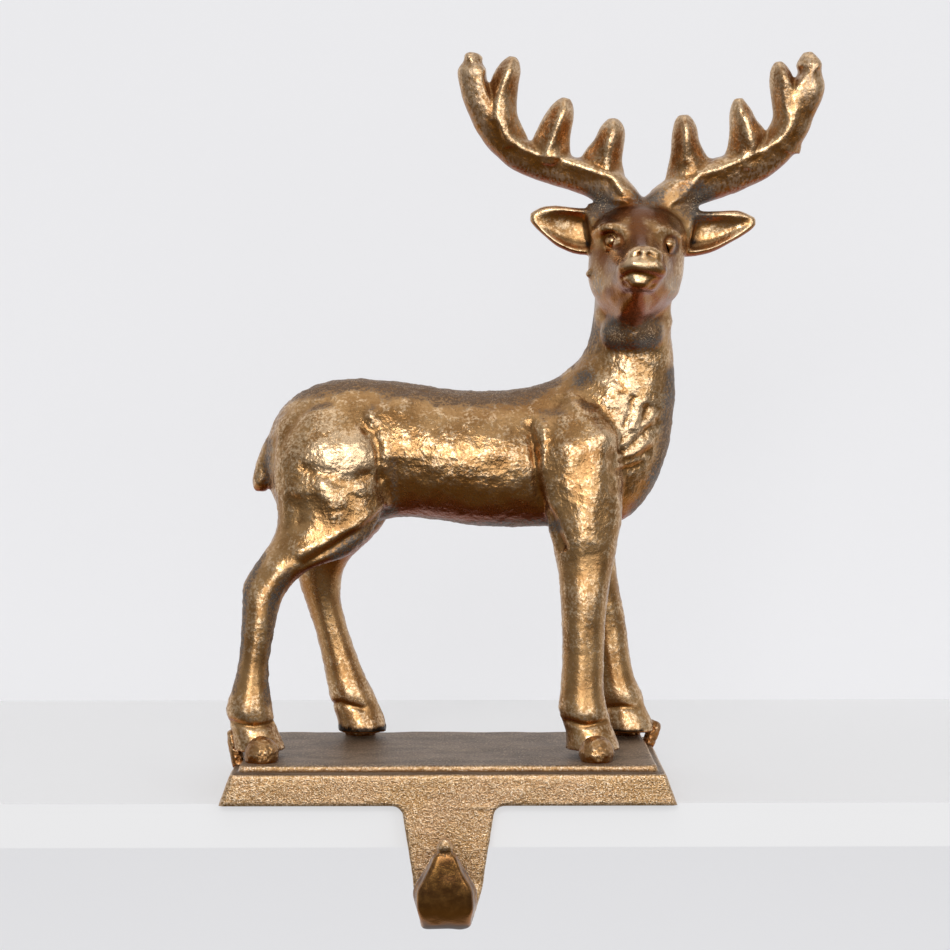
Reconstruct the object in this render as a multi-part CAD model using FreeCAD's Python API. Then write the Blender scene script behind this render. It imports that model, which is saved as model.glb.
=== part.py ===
import FreeCAD, Part
import math
import os

# Mantel stocking holder: a cast stag welded to a cast plinth with a hanging hook.
# Millimetres. The mantel's top is the plane z = 0 and its front edge is y = 0.
# The viewer stands at negative y, and the stag walks towards positive x.

Vec = FreeCAD.Vector

# Plinth of two tiers, hollow underneath
PLINTH_LENGTH = 165.0
PLINTH_BACK = 86.0
LOWER_TIER_HEIGHT = 11.3
UPPER_TIER_HEIGHT = 2.7
END_BATTER = 4.1
BACK_BATTER = 4.0
END_LEDGE = 3.0
FRONT_LEDGE = 4.0
BACK_LEDGE = 4.0
PLINTH_CORNER_RADIUS = 2.0
TIER_EDGE_RADIUS = 0.9
PLINTH_WALL = 5.0
RECESS_TOP_WALL = 2.5
FRONT_REST = 6.0
PLINTH_ROOF = 4.6

# Tongue and hook, one tapered strip that bends forward and up
TONGUE_THICKNESS = 6.0
TONGUE_TOP_WIDTH = 32.6
TONGUE_LOW_WIDTH = 25.4
TONGUE_DROP = 26.5
TONGUE_FILLET = 4.0
HOOK_BEND_RADIUS = 11.8
BEND_STEPS = 8
HOOK_WIDTH = 24.8
HOOK_WAIST = 4.8
HOOK_THICKNESS = 7.6
HOOK_TIP_RISE = 19.8
HOOK_TIP_LEAN = 2.6
HOOK_TIP_WIDTH = 4.4
HOOK_TIP_THICKNESS = 4.6
HOOK_TIP_SHIFT = -1.2
HOOK_SQUARENESS = 0.75
HOOK_BEVEL = 0.2
# Share of the tip's rise, share of the taper in width, and share of the taper in thickness
HOOK_TAPER = [(0.2, 0.22, 0.1), (0.45, 0.52, 0.4), (0.7, 0.78, 0.8), (0.9, 0.97, 0.8),
              (1.0, 1.14, 1.4)]

# Stance of the stag on the plinth
SOLE_GAP = 3.0
FIGURE_MIDDLE_Y = 40.0
LEG_TRACK = 44.0
HOOF_HALF_WIDTH = 9.0

# Weld beads and drips at the hooves
BEAD_RADIUS = 6.2
BEAD_SINK = 2.8
BEAD_OUTSET = 1.1
DRIP_RADIUS = 2.3
NEAR_DRIP_START = 5.0
FAR_DRIP_START = 1.0

# Head and ears
EYE_RADIUS = 2.9
SOCKET_RADIUS = 4.3
SOCKET_DEPTH = 1.6
NOSTRIL_RADIUS = 1.2
MOUTH_WIDTH = 12.6
MOUTH_GAP = 1.5
MOUTH_DEPTH = 7.0
EAR_RIM = 1.9
EAR_HOLLOW_FORWARD = 3.4
CLEFT_WIDTH = 1.4
CLEFT_LENGTH = 6.0
# How far a cutting form reaches past the face that it opens
CUT_MARGIN = 1.0

RING_POLES = 8
# A closed cubic spline through poles on a circle runs at this share of their radius
RING_SHRINK = (4.0 + 2.0 * math.cos(2.0 * math.pi / RING_POLES)) / 6.0
# How far corner poles go out and side poles come in where a section is quite square
SQUARE_CORNER = 0.64
SQUARE_SIDE = 0.227
# The pole of an antler's ridge goes out and its neighbours come in by these factors
RIDGE_POLE = 6
RIDGE_RISE = 1.22
RIDGE_FLANK = 0.86
BEAM_RIDGE_LIFT = 32.0
# The last ring of a rounded run lies this far out, at this share of the end's radius
END_REACH = 0.75
END_SHARE = 0.6

PLINTH_TOP = LOWER_TIER_HEIGHT + UPPER_TIER_HEIGHT
SOLE_HEIGHT = PLINTH_TOP + SOLE_GAP

# Side view of the stag above its soles, with x measured from the middle of the plinth.
# Each row: front or under edge (x, z), rear or upper edge (x, z), offset of the middle
# towards the far side, half width, and where given how much wider the under edge is.
BODY = [
    ((-67.5, 100), (-68.0, 107), 0, 4.0),
    ((-64.5, 90), (-65.4, 118.8), 0, 14.0),
    ((-54.0, 80), (-53.8, 131.2), 0, 19.5),
    ((-36.0, 80), (-37.0, 135.4), 0, 21.0),
    ((-18.0, 83.8), (-19.0, 134.6), 0, 20.5, 0.08),
    ((0.0, 82.2), (0.0, 131.9), 0, 22.5, 0.12),
    ((18.0, 80.3), (18.0, 131.0), 0, 22.5, 0.12),
    ((39.0, 80), (33.0, 133), 0, 21.0, 0.08),
    ((59.5, 80), (42.5, 137.4), 0, 19.5),
    ((75.2, 92.4), (48.5, 142.8), 0, 18.0),
    ((83.0, 113), (52.3, 149.2), 0, 16.0),
    ((84.8, 133), (54.0, 157.4), -1.0, 14.8),
    ((83.2, 149), (54.6, 165), -3.0, 14.2),
    ((82.8, 158), (54.4, 171.6), -5.0, 14.2),
    ((81.6, 166), (56.5, 182), -7.0, 13.0),
]
TAIL = [
    ((-54.0, 122), (-57.6, 125.5), 0, 3.6),
    ((-60.5, 112), (-67.6, 114), 0, 5.0),
    ((-65.0, 102), (-72.2, 103), 0, 5.4),
    ((-66.5, 96), (-73.2, 96.5), 0, 4.4),
    ((-68.5, 93.6), (-72.0, 93.8), 0, 2.0),
]
# Leg rows count the third value inwards from the hoof's middle
NEAR_HIND_LEG = [
    ((-36.0, 128), (-48.0, 128), 15.0, 6.0),
    ((-23.0, 113), (-61.5, 114), 10.5, 13.0),
    ((-22.0, 99), (-64.3, 97), 9.0, 13.5),
    ((-25.5, 84.5), (-63.0, 82.5), 7.0, 12.0),
    ((-34.8, 72), (-67.8, 72), 4.5, 10.0),
    ((-50.5, 66), (-74.6, 61.5), 2.5, 8.5),
    ((-59.8, 57), (-75.3, 56), 1.0, 7.5),
    ((-63.5, 44), (-75.8, 44), 0.0, 6.8),
    ((-65.7, 32), (-76.7, 33), 0.0, 6.4),
    ((-65.5, 22), (-79.4, 22), 0.0, 7.2),
    ((-64.4, 14.5), (-81.4, 14.5), 0.0, 8.0),
    ((-63.6, 10), (-80.2, 9.6), 0.0, 7.4),
    ((-61.6, 5), (-79.4, 5), 0.0, 8.4),
    ((-59.8, 0), (-78.8, 0), 0.0, HOOF_HALF_WIDTH),
]
FAR_HIND_LEG = [
    ((-36.0, 128), (-48.0, 128), 15.0, 6.0),
    ((-23.0, 113), (-61.5, 114), 10.5, 13.0),
    ((-20.0, 99), (-62.0, 97), 9.0, 13.5),
    ((-22.5, 84.5), (-58.0, 82.5), 7.0, 12.0),
    ((-30.2, 73.5), (-57.0, 71), 4.5, 10.0),
    ((-39.0, 64.5), (-57.6, 62), 2.5, 8.5),
    ((-41.3, 54), (-56.6, 56), 1.0, 7.6),
    ((-40.0, 44.6), (-52.9, 44.6), 0.0, 6.8),
    ((-36.6, 33), (-49.5, 33), 0.0, 6.4),
    ((-32.0, 21.5), (-46.9, 20.5), 0.0, 7.2),
    ((-28.6, 14.5), (-45.9, 14.5), 0.0, 8.0),
    ((-26.4, 9.6), (-44.4, 9.2), 0.0, 7.4),
    ((-24.6, 5), (-42.8, 5), 0.0, 8.4),
    ((-23.6, 0), (-42.4, 0), 0.0, HOOF_HALF_WIDTH),
]
NEAR_FRONT_LEG = [
    ((56.0, 130), (43.0, 130), 14.5, 6.0),
    ((63.0, 114), (33.6, 113), 9.0, 12.0),
    ((64.0, 101), (34.0, 101), 7.0, 12.5),
    ((64.2, 91), (35.4, 91), 5.5, 11.5),
    ((63.3, 82), (37.0, 81), 4.0, 10.2),
    ((61.2, 71), (39.4, 70), 2.5, 9.0),
    ((58.8, 57), (41.1, 56.5), 0.5, 7.9),
    ((57.5, 44), (41.8, 44), 0.0, 7.0),
    ((57.2, 32), (41.8, 32), 0.0, 6.8),
    ((57.3, 20), (41.0, 20), 0.0, 7.3),
    ((58.8, 13.6), (40.8, 13.6), 0.0, 8.0),
    ((59.8, 9.5), (42.6, 9), 0.0, 7.4),
    ((61.6, 5), (43.3, 5), 0.0, 8.5),
    ((63.4, 0), (43.0, 0), 0.0, HOOF_HALF_WIDTH),
]
FAR_FRONT_LEG = [
    ((57.0, 130), (44.0, 130), 14.5, 6.0),
    ((64.0, 114), (36.0, 113), 9.0, 12.0),
    ((64.6, 101), (38.0, 101), 7.0, 12.5),
    ((63.2, 91), (41.0, 91), 5.5, 11.5),
    ((62.8, 82), (44.0, 81), 4.0, 10.2),
    ((63.6, 71), (47.0, 70), 2.5, 9.0),
    ((65.4, 57), (50.8, 56.5), 0.5, 7.9),
    ((67.8, 44), (53.2, 44), 0.0, 7.0),
    ((69.6, 32), (54.8, 32), 0.0, 6.8),
    ((71.8, 20.5), (56.8, 20), 0.0, 7.3),
    ((74.6, 14.5), (58.0, 14), 0.0, 8.0),
    ((75.8, 9.6), (59.3, 9.3), 0.0, 7.4),
    ((78.4, 4.5), (60.0, 5), 0.0, 8.5),
    ((79.6, 0), (60.2, 0), 0.0, HOOF_HALF_WIDTH),
]

# Head from the back of the skull to the nose. Each row: under edge (x, y, z), upper edge
# (x, y, z), half width, and how much wider the under edge is. Offsets in y count from
# the stag's middle plane, and the head looks towards the viewer.
HEAD = [
    ((69.5, 7.0, 181), (70.5, 6.5, 190), 6.0, 0.0),
    ((68.5, 2.0, 166), (70.6, 1.0, 197), 15.8, -0.12),
    ((68.0, -6.0, 157.5), (71.0, -7.0, 200), 19.4, -0.20),
    ((68.0, -14.0, 156), (70.8, -16.0, 198), 18.8, -0.22),
    ((68.0, -21.0, 157), (70.4, -24.0, 193), 15.0, -0.16),
    ((68.0, -28.0, 160), (69.6, -31.0, 188), 10.8, -0.05),
    ((68.0, -35.0, 163.5), (69.0, -38.0, 184.4), 8.7, 0.0),
    ((68.0, -42.0, 167), (68.6, -45.0, 182), 8.2, -0.05),
    ((68.0, -46.0, 170), (68.2, -48.6, 180), 6.6, -0.05),
    ((68.0, -47.6, 173), (68.0, -49.2, 177.6), 3.4, 0.0),
]
EYES = [(58.4, -20.0, 185.8), (79.4, -20.6, 183.4)]
NOSTRILS = [(67.2, -49.0, 179.8), (72.0, -49.0, 179.6)]
MOUTH = (68.8, -47.5, 172.4)
# Round forms melted onto the head, as runs of (x, y, z, radius): brows, bridge, cheeks,
# upper lip, nose pad, lower lip, jaw and the webs between the ears and the antlers
HEAD_FORMS = [
    [(52.0, -15.0, 188.2, 1.2), (55.2, -19.6, 190.2, 2.0), (59.8, -22.8, 189.8, 2.2),
     (63.8, -25.0, 187.4, 1.4)],
    [(86.2, -14.0, 185.4, 1.2), (82.6, -19.0, 187.6, 2.0), (78.0, -22.8, 187.8, 2.2),
     (74.4, -25.4, 186.2, 1.4)],
    [(70.0, -16.0, 191.0, 5.0), (69.8, -28.0, 185.0, 4.2), (69.6, -39.0, 179.2, 4.2),
     (69.4, -45.0, 177.4, 3.0)],
    [(58.0, -4.0, 173.0, 5.6), (58.4, -13.0, 170.4, 6.2), (60.6, -23.0, 169.6, 5.0),
     (63.0, -32.0, 170.6, 3.0)],
    [(80.4, -4.0, 172.6, 5.6), (79.6, -13.0, 170.0, 6.2), (77.2, -23.0, 169.2, 5.0),
     (74.8, -32.0, 170.2, 3.0)],
    [(61.8, -39.0, 174.2, 2.6), (64.6, -45.6, 175.8, 3.8), (69.2, -47.4, 176.2, 3.8),
     (73.6, -45.8, 175.2, 3.8), (76.0, -39.0, 173.6, 2.6)],
    [(65.0, -46.6, 180.2, 2.2), (68.0, -47.4, 180.8, 2.6), (71.6, -47.4, 180.6, 2.6),
     (74.6, -46.4, 179.8, 2.2)],
    [(63.2, -40.0, 169.4, 1.8), (66.6, -45.6, 169.8, 2.4), (70.4, -45.8, 169.6, 2.4),
     (73.6, -40.6, 169.0, 1.8)],
    [(66.6, -8.0, 160.0, 7.4), (66.6, -20.0, 160.6, 6.6), (67.4, -32.0, 165.0, 5.2),
     (68.2, -42.0, 169.0, 3.0)],
    [(64.0, -4.0, 194.0, 6.0), (57.4, -3.0, 197.0, 4.8), (53.6, -3.0, 198.2, 3.0)],
    [(78.0, -4.0, 193.0, 7.0), (85.0, -3.0, 196.4, 6.0), (90.0, -3.0, 198.8, 3.6)],
]

# Ears in front view: lower edge (x, z), upper edge (x, z), half thickness
EAR_OFFSET = -4.0
LEFT_EAR = [
    ((60.0, 184), (59.0, 203), 5.0),
    ((51.5, 181.8), (51.5, 199), 5.2),
    ((45.0, 182.2), (42.5, 199.8), 4.8),
    ((37.5, 187), (35.5, 199.6), 3.8),
    ((32.4, 191.6), (32.0, 198), 2.3),
    ((30.4, 194.2), (30.6, 197.0), 0.9),
]
RIGHT_EAR = [
    ((82.0, 183), (84.0, 202), 5.0),
    ((91.0, 180.8), (91.5, 198.2), 5.2),
    ((99.5, 183.2), (101.0, 198.0), 4.8),
    ((107.0, 187.2), (108.5, 198), 3.8),
    ((112.6, 190.8), (112.4, 196.4), 2.3),
    ((114.4, 192.8), (114.2, 195.4), 0.9),
]

# Antlers: x, offset in y, z and radius along each beam and each tine
LEFT_BEAM = [
    (73.0, -6.0, 192.0, 6.6),
    (66.0, -4.0, 200.4, 7.0),
    (59.0, -2.0, 207.4, 7.4),
    (50.5, -1.0, 211.0, 6.8),
    (42.5, 0.0, 213.0, 6.3),
    (34.0, 0.0, 215.8, 6.2),
    (27.0, -1.0, 219.0, 6.2),
    (20.5, -2.0, 224.4, 6.1),
    (15.2, -3.0, 231.6, 6.0),
    (11.6, -4.0, 238.6, 5.6),
    (9.4, -5.0, 246.4, 5.5),
    (9.2, -5.4, 250.6, 5.1),
    (9.4, -5.6, 253.8, 3.6),
    (9.6, -5.6, 255.8, 1.6),
]
RIGHT_BEAM = [
    (71.0, -6.0, 191.0, 6.6),
    (77.5, -4.0, 198.6, 6.8),
    (83.4, -2.0, 203.0, 7.2),
    (90.5, -1.0, 206.8, 7.5),
    (98.5, 0.0, 210.2, 8.0),
    (107.5, 0.0, 212.8, 7.2),
    (115.0, -1.0, 215.4, 6.2),
    (122.0, -2.0, 220.6, 6.1),
    (128.2, -3.0, 229.4, 6.0),
    (131.6, -4.0, 237.2, 5.7),
    (133.8, -5.0, 246.6, 5.5),
    (133.8, -5.4, 251.0, 5.0),
    (133.2, -5.6, 254.2, 3.6),
    (133.0, -5.6, 256.4, 1.6),
]
# A tine's rows may end in a half depth, where its root spreads along the beam
LEFT_TINES = [
    [(56.4, -1.0, 209.5, 10.0, 6.0), (57.2, -2.0, 215.4, 8.4, 5.8), (58.6, -3.0, 219.6, 6.7, 5.4),
     (59.9, -4.0, 223.0, 5.6, 5.2), (60.8, -4.5, 226.6, 5.0), (61.1, -5.0, 229.6, 3.8),
     (61.1, -5.2, 231.8, 1.6)],
    [(37.6, -1.0, 216.0, 8.6, 5.8), (38.0, -2.0, 221.5, 7.8, 5.6), (39.2, -3.0, 226.4, 6.6, 5.4),
     (40.8, -4.0, 230.8, 5.7, 5.2), (42.2, -4.5, 234.4, 4.8), (43.2, -5.0, 237.4, 3.4),
     (43.8, -5.2, 239.4, 1.5)],
    [(23.0, -2.0, 222.5, 7.6, 5.6), (21.2, -3.0, 228.0, 6.6, 5.4), (20.0, -4.0, 233.6, 5.9, 5.2),
     (20.2, -4.6, 240.0, 5.7, 5.0), (21.5, -5.4, 246.6, 5.1, 4.9), (22.9, -6.0, 250.4, 4.2),
     (23.6, -6.1, 252.8, 3.0), (23.8, -6.2, 254.6, 1.4)],
]
RIGHT_TINES = [
    [(90.6, -1.0, 207.5, 10.0, 6.2), (89.8, -2.0, 214.4, 8.6, 5.8), (88.8, -3.0, 219.4, 6.5, 5.4),
     (88.1, -4.0, 223.4, 5.4, 5.2), (87.8, -4.5, 227.4, 4.8), (87.4, -5.0, 230.8, 3.5),
     (87.3, -5.2, 233.0, 1.6)],
    [(110.0, -1.0, 214.5, 8.8, 6.0), (111.0, -2.0, 220.5, 7.6, 5.6), (111.2, -3.0, 225.4, 7.4, 5.4),
     (109.4, -4.0, 230.2, 5.4, 5.0), (108.5, -4.5, 233.6, 4.5), (107.8, -5.0, 236.8, 3.1),
     (107.6, -5.2, 239.2, 1.4)],
    [(123.6, -2.0, 221.0, 7.6, 5.6), (125.2, -3.0, 227.0, 6.8, 5.4), (125.8, -4.0, 232.8, 5.6, 5.2),
     (124.7, -4.6, 239.0, 5.0), (123.7, -5.4, 244.4, 4.9), (122.9, -6.0, 248.2, 4.2),
     (122.3, -6.1, 251.0, 3.0), (122.2, -6.2, 252.9, 1.4)],
]

# Toe of each hoof at the sole, where the cleft is: x of the toe and side of the leg
TOES = [(-59.8, -1), (-23.6, 1), (63.4, -1), (79.6, 1)]
# Weld beads: x of each bead and the side of the legs that it lies on
BEADS = [(-67.8, -1), (-34.0, 1), (54.0, -1), (69.0, 1)]


def ring(front, rear, across, half_width, egg=0.0, squareness=0.0, ridge=False):
    """Poles of one closed section through the front and the rear point."""
    middle = (front + rear) * 0.5
    reach = (front - rear) * 0.5
    poles = []
    for index in range(RING_POLES):
        angle = 2.0 * math.pi * index / RING_POLES
        along = math.cos(angle)
        aside = math.sin(angle) * (1.0 + egg * along)
        factor = 1.0 + SQUARE_CORNER * squareness if index % 2 else 1.0 - SQUARE_SIDE * squareness
        if ridge and index == RIDGE_POLE:
            factor = RIDGE_RISE
        elif ridge and abs(index - RIDGE_POLE) == 1:
            factor = RIDGE_FLANK
        offset = reach * along + across * (half_width * aside)
        poles.append(middle + offset * (factor / RING_SHRINK))
    return poles


def cap(surface, end):
    """Flat face that closes a skin at one end."""
    return Part.Face(Part.Wire([surface.uIso(end).toShape()]))


def skin(rings):
    """Solid whose side passes smoothly through the given sections."""
    centres = []
    for poles in rings:
        total = Vec(0, 0, 0)
        for pole in poles:
            total = total + pole
        centres.append(total * (1.0 / len(poles)))
    knots = [0.0]
    for before, after in zip(centres, centres[1:]):
        knots.append(knots[-1] + math.sqrt(before.distanceToPoint(after)))
    columns = []
    for index in range(RING_POLES):
        line = Part.BSplineCurve()
        line.interpolate(Points=[poles[index] for poles in rings], Parameters=knots)
        columns.append(line)
    grid = [[line.getPole(row) for line in columns] for row in range(1, columns[0].NbPoles + 1)]
    surface = Part.BSplineSurface()
    surface.buildFromPolesMultsKnots(
        grid, columns[0].getMultiplicities(), [1] * (RING_POLES + 1),
        columns[0].getKnots(), [float(knot) for knot in range(RING_POLES + 1)],
        False, True, 3, 3)
    shell = Part.Shell([surface.toShape(), cap(surface, knots[0]), cap(surface, knots[-1])])
    shell.sewShape()
    solid = Part.Solid(shell)
    if solid.Volume < 0:
        solid.reverse()
    return solid


def row_ring(row, middle_y):
    """Section of a side-view row, with its middle at the given offset."""
    (front_x, front_z), (rear_x, rear_z) = row[:2]
    egg = row[4] if len(row) > 4 else 0.0
    return ring(Vec(front_x, middle_y, front_z), Vec(rear_x, middle_y, rear_z),
                Vec(0, 1, 0), row[3], egg)


def trunk_skin(rows):
    """Body and tail lie on the middle plane or turn off it by the row's offset."""
    return skin([row_ring(row, row[2]) for row in rows])


def leg_skin(rows, side):
    """Leg on the near side (-1) or the far side (1) of the middle plane."""
    return skin([row_ring(row, side * (LEG_TRACK / 2 - row[2])) for row in rows])


def head_skin():
    rings = []
    for under, upper, half_width, egg in HEAD:
        rings.append(ring(Vec(*under), Vec(*upper), Vec(1, 0, 0), half_width, egg))
    return skin(rings)


def ear_skin(rows, rim=0.0, forward=0.0):
    """Leaf-shaped ear, or with a rim the bowl inside it that opens to the front."""
    rings = []
    for (low_x, low_z), (high_x, high_z), half_thickness in rows:
        low = Vec(low_x, EAR_OFFSET - forward, low_z)
        high = Vec(high_x, EAR_OFFSET - forward, high_z)
        lift = (high - low).normalize() * rim
        rings.append(ring(low + lift, high - lift, Vec(0, 1, 0), half_thickness))
    return skin(rings)


def limb(points, ridge=False, lift=0.0):
    """Limb through points with a radius each, round or with a ridge towards the viewer."""
    turn = math.radians(lift)
    rings = []
    for index, (x, y, z, radius, *depth) in enumerate(points):
        ahead = Vec(*points[min(index + 1, len(points) - 1)][:3])
        behind = Vec(*points[max(index - 1, 0)][:3])
        tangent = ahead - behind
        reach = tangent.cross(Vec(0, 1, 0)).normalize()
        across = reach.cross(tangent).normalize()
        half_depth = depth[0] if depth else radius
        upward = reach if reach.z > 0 else reach * -1.0
        tilted = across * math.cos(turn) - upward * math.sin(turn)
        side = tilted.cross(tangent).normalize()
        if side.dot(reach) < 0:
            side = side * -1.0
        centre = Vec(x, y, z)
        rings.append(ring(centre + side * radius, centre - side * radius, tilted, half_depth,
                          ridge=ridge))
    return skin(rings)


def rounded_run(points):
    """Round form along a run of points with a radius each, drawn in at both ends."""
    places = [(Vec(x, y, z), radius) for x, y, z, radius in points]
    for inner, outer, at in ((places[1], places[0], 0), (places[-2], places[-1], len(places) + 1)):
        outwards = (outer[0] - inner[0]).normalize()
        places.insert(at, (outer[0] + outwards * (outer[1] * END_REACH), outer[1] * END_SHARE))
    rings = []
    for index, (centre, radius) in enumerate(places):
        tangent = places[min(index + 1, len(places) - 1)][0] - places[max(index - 1, 0)][0]
        reach = tangent.cross(Vec(0, 0, 1)).normalize()
        across = reach.cross(tangent).normalize()
        rings.append(ring(centre + reach * radius, centre - reach * radius, across, radius))
    return skin(rings)


def mouth_slit():
    """Thin slot under the upper lip."""
    x, y, z = MOUTH
    return Part.makeBox(MOUTH_WIDTH, MOUTH_DEPTH, MOUTH_GAP,
                        Vec(x - MOUTH_WIDTH / 2, y - MOUTH_DEPTH / 2, z - MOUTH_GAP / 2))


def hoof_cleft(toe_x, side):
    """Wedge that parts the two toes of a hoof, deepest at the sole."""
    middle_y = side * LEG_TRACK / 2
    toe = toe_x + CLEFT_WIDTH
    rear = toe_x - CLEFT_LENGTH
    corners = [Vec(toe, middle_y - CLEFT_WIDTH, -CUT_MARGIN), Vec(toe, middle_y + CLEFT_WIDTH, -CUT_MARGIN),
               Vec(rear, middle_y, -CUT_MARGIN)]
    wedge = Part.Face(Part.makePolygon(corners + corners[:1]))
    return wedge.extrude(Vec(-CLEFT_LENGTH / 2, 0, 2 * CLEFT_LENGTH))


def stag_figure():
    """The whole stag, cast in one piece."""
    forms = [trunk_skin(TAIL), head_skin(), ear_skin(LEFT_EAR), ear_skin(RIGHT_EAR),
             leg_skin(NEAR_HIND_LEG, -1), leg_skin(FAR_HIND_LEG, 1),
             leg_skin(NEAR_FRONT_LEG, -1), leg_skin(FAR_FRONT_LEG, 1),
             limb(LEFT_BEAM, True, BEAM_RIDGE_LIFT), limb(RIGHT_BEAM, True, BEAM_RIDGE_LIFT)]
    for tine in LEFT_TINES + RIGHT_TINES:
        forms.append(limb(tine, True))
    for run in HEAD_FORMS:
        forms.append(rounded_run(run))
    sockets = []
    eyeballs = []
    for x, y, z in EYES:
        sockets.append(Part.makeSphere(SOCKET_RADIUS, Vec(x, y - SOCKET_RADIUS + SOCKET_DEPTH, z)))
        eyeballs.append(Part.makeSphere(EYE_RADIUS, Vec(x, y, z)))
    hollows = [mouth_slit()]
    for rows in (LEFT_EAR, RIGHT_EAR):
        hollows.append(ear_skin(rows[1:-1], EAR_RIM, EAR_HOLLOW_FORWARD))
    for x, y, z in NOSTRILS:
        hollows.append(Part.makeSphere(NOSTRIL_RADIUS, Vec(x, y, z)))
    for toe_x, side in TOES:
        hollows.append(hoof_cleft(toe_x, side))
    figure = trunk_skin(BODY).multiFuse(forms).cut(hollows + sockets).multiFuse(eyeballs)
    figure.translate(Vec(0, FIGURE_MIDDLE_Y, SOLE_HEIGHT))
    return figure.Solids[0]


def tier(bottom_z, top_z, bottom, top, corner):
    """Plinth tier between two rectangles, each given as half length, front and back."""
    wires = []
    for z, (half_length, front, back) in ((bottom_z, bottom), (top_z, top)):
        plate = Part.makeBox(2 * half_length, back - front, 1, Vec(-half_length, front, z))
        upright = [edge for edge in plate.Edges if abs(edge.tangentAt(edge.FirstParameter).z) > 0.9]
        rounded = plate.makeFillet(corner, upright)
        floor = min(rounded.Faces, key=lambda face: face.CenterOfMass.z)
        wires.append(floor.OuterWire)
    return Part.makeLoft(wires, True, True)


def tongue():
    """Flat tongue in front of the mantel, with fillets where it leaves the plinth."""
    top = TONGUE_TOP_WIDTH / 2
    low = TONGUE_LOW_WIDTH / 2
    reach = top + TONGUE_FILLET
    bend = TONGUE_FILLET * math.sqrt(0.5)
    outline = []
    for side in (1, -1):
        root = Vec(side * reach, -TONGUE_THICKNESS, 0)
        middle = Vec(side * (reach - bend), -TONGUE_THICKNESS, bend - TONGUE_FILLET)
        foot = Vec(side * top, -TONGUE_THICKNESS, -TONGUE_FILLET)
        tip = Vec(side * low, -TONGUE_THICKNESS, -TONGUE_DROP)
        outline.append((root, middle, foot, tip))
    (root_a, middle_a, foot_a, tip_a), (root_b, middle_b, foot_b, tip_b) = outline
    up = Vec(0, 0, PLINTH_ROOF)
    edges = [Part.Arc(root_a, middle_a, foot_a).toShape(), Part.makeLine(foot_a, tip_a),
             Part.makeLine(tip_a, tip_b), Part.makeLine(tip_b, foot_b),
             Part.Arc(foot_b, middle_b, root_b).toShape(), Part.makeLine(root_b, root_b + up),
             Part.makeLine(root_b + up, root_a + up), Part.makeLine(root_a + up, root_a)]
    return Part.Face(Part.Wire(edges)).extrude(Vec(0, TONGUE_THICKNESS, 0))


def hook():
    """Strip that goes on from the tongue, round the bend and up to the pointed tip."""
    wall_y = -TONGUE_THICKNESS / 2
    bend_y = wall_y - HOOK_BEND_RADIUS
    start = Vec(0, wall_y, TONGUE_FILLET - TONGUE_DROP)
    stations = [(start, 0.0, TONGUE_LOW_WIDTH, TONGUE_THICKNESS, 0.0)]
    for step in range(BEND_STEPS + 1):
        share = step / BEND_STEPS
        turn = math.pi * share
        centre = Vec(HOOK_TIP_SHIFT * share, bend_y + HOOK_BEND_RADIUS * math.cos(turn),
                     -TONGUE_DROP - HOOK_BEND_RADIUS * math.sin(turn))
        waist = HOOK_WAIST * math.sin(turn) ** 2
        width = TONGUE_LOW_WIDTH + (HOOK_WIDTH - TONGUE_LOW_WIDTH) * share - waist
        thickness = TONGUE_THICKNESS + (HOOK_THICKNESS - TONGUE_THICKNESS) * share
        stations.append((centre, turn, width, thickness, HOOK_BEVEL * share))
    foot = stations[-1][0]
    for rise, narrowing, thinning in HOOK_TAPER:
        centre = foot + Vec(0, -HOOK_TIP_LEAN * rise, HOOK_TIP_RISE * rise)
        width = HOOK_WIDTH + (HOOK_TIP_WIDTH - HOOK_WIDTH) * narrowing
        thickness = HOOK_THICKNESS + (HOOK_TIP_THICKNESS - HOOK_THICKNESS) * thinning
        stations.append((centre, math.pi, width, thickness, HOOK_BEVEL))
    rings = []
    for centre, turn, width, thickness, bevel in stations:
        outward = Vec(0, math.cos(turn), -math.sin(turn)) * (thickness / 2)
        half_width = width / 2 / (1 + bevel)
        rings.append(ring(centre + outward, centre - outward, Vec(1, 0, 0), half_width, -bevel,
                          HOOK_SQUARENESS))
    return skin(rings)


def hook_base():
    """Plinth, tongue and hook, cast in one piece."""
    front = -TONGUE_THICKNESS
    half_length = PLINTH_LENGTH / 2
    lower_half = half_length - END_BATTER
    lower_back = PLINTH_BACK - BACK_BATTER
    upper_half = lower_half - END_LEDGE
    lower = tier(0, LOWER_TIER_HEIGHT, (half_length, front, PLINTH_BACK),
                 (lower_half, front, lower_back), PLINTH_CORNER_RADIUS)
    upper_front = front + FRONT_LEDGE
    upper_back = lower_back - BACK_LEDGE
    upper = tier(LOWER_TIER_HEIGHT, PLINTH_TOP, (upper_half, upper_front, upper_back),
                 (upper_half, upper_front, upper_back), PLINTH_CORNER_RADIUS)
    rim = [edge for edge in upper.Edges
           if min(vertex.Point.z for vertex in edge.Vertexes) > PLINTH_TOP - 0.01]
    upper = upper.makeFillet(TIER_EDGE_RADIUS, rim)
    recess_top = PLINTH_TOP - PLINTH_ROOF
    recess = tier(-CUT_MARGIN, recess_top,
                  (half_length - PLINTH_WALL, FRONT_REST, PLINTH_BACK - PLINTH_WALL),
                  (upper_half - RECESS_TOP_WALL, FRONT_REST, upper_back - RECESS_TOP_WALL),
                  PLINTH_CORNER_RADIUS)
    casting = lower.multiFuse([upper, tongue(), hook()]).cut(recess)
    return casting.removeSplitter().Solids[0]


def drip(start, end):
    """Run of weld metal between two points, with round ends."""
    run = end - start
    body = Part.makeCylinder(DRIP_RADIUS, run.Length, start, run)
    return body.multiFuse([Part.makeSphere(DRIP_RADIUS, start), Part.makeSphere(DRIP_RADIUS, end)])


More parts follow.
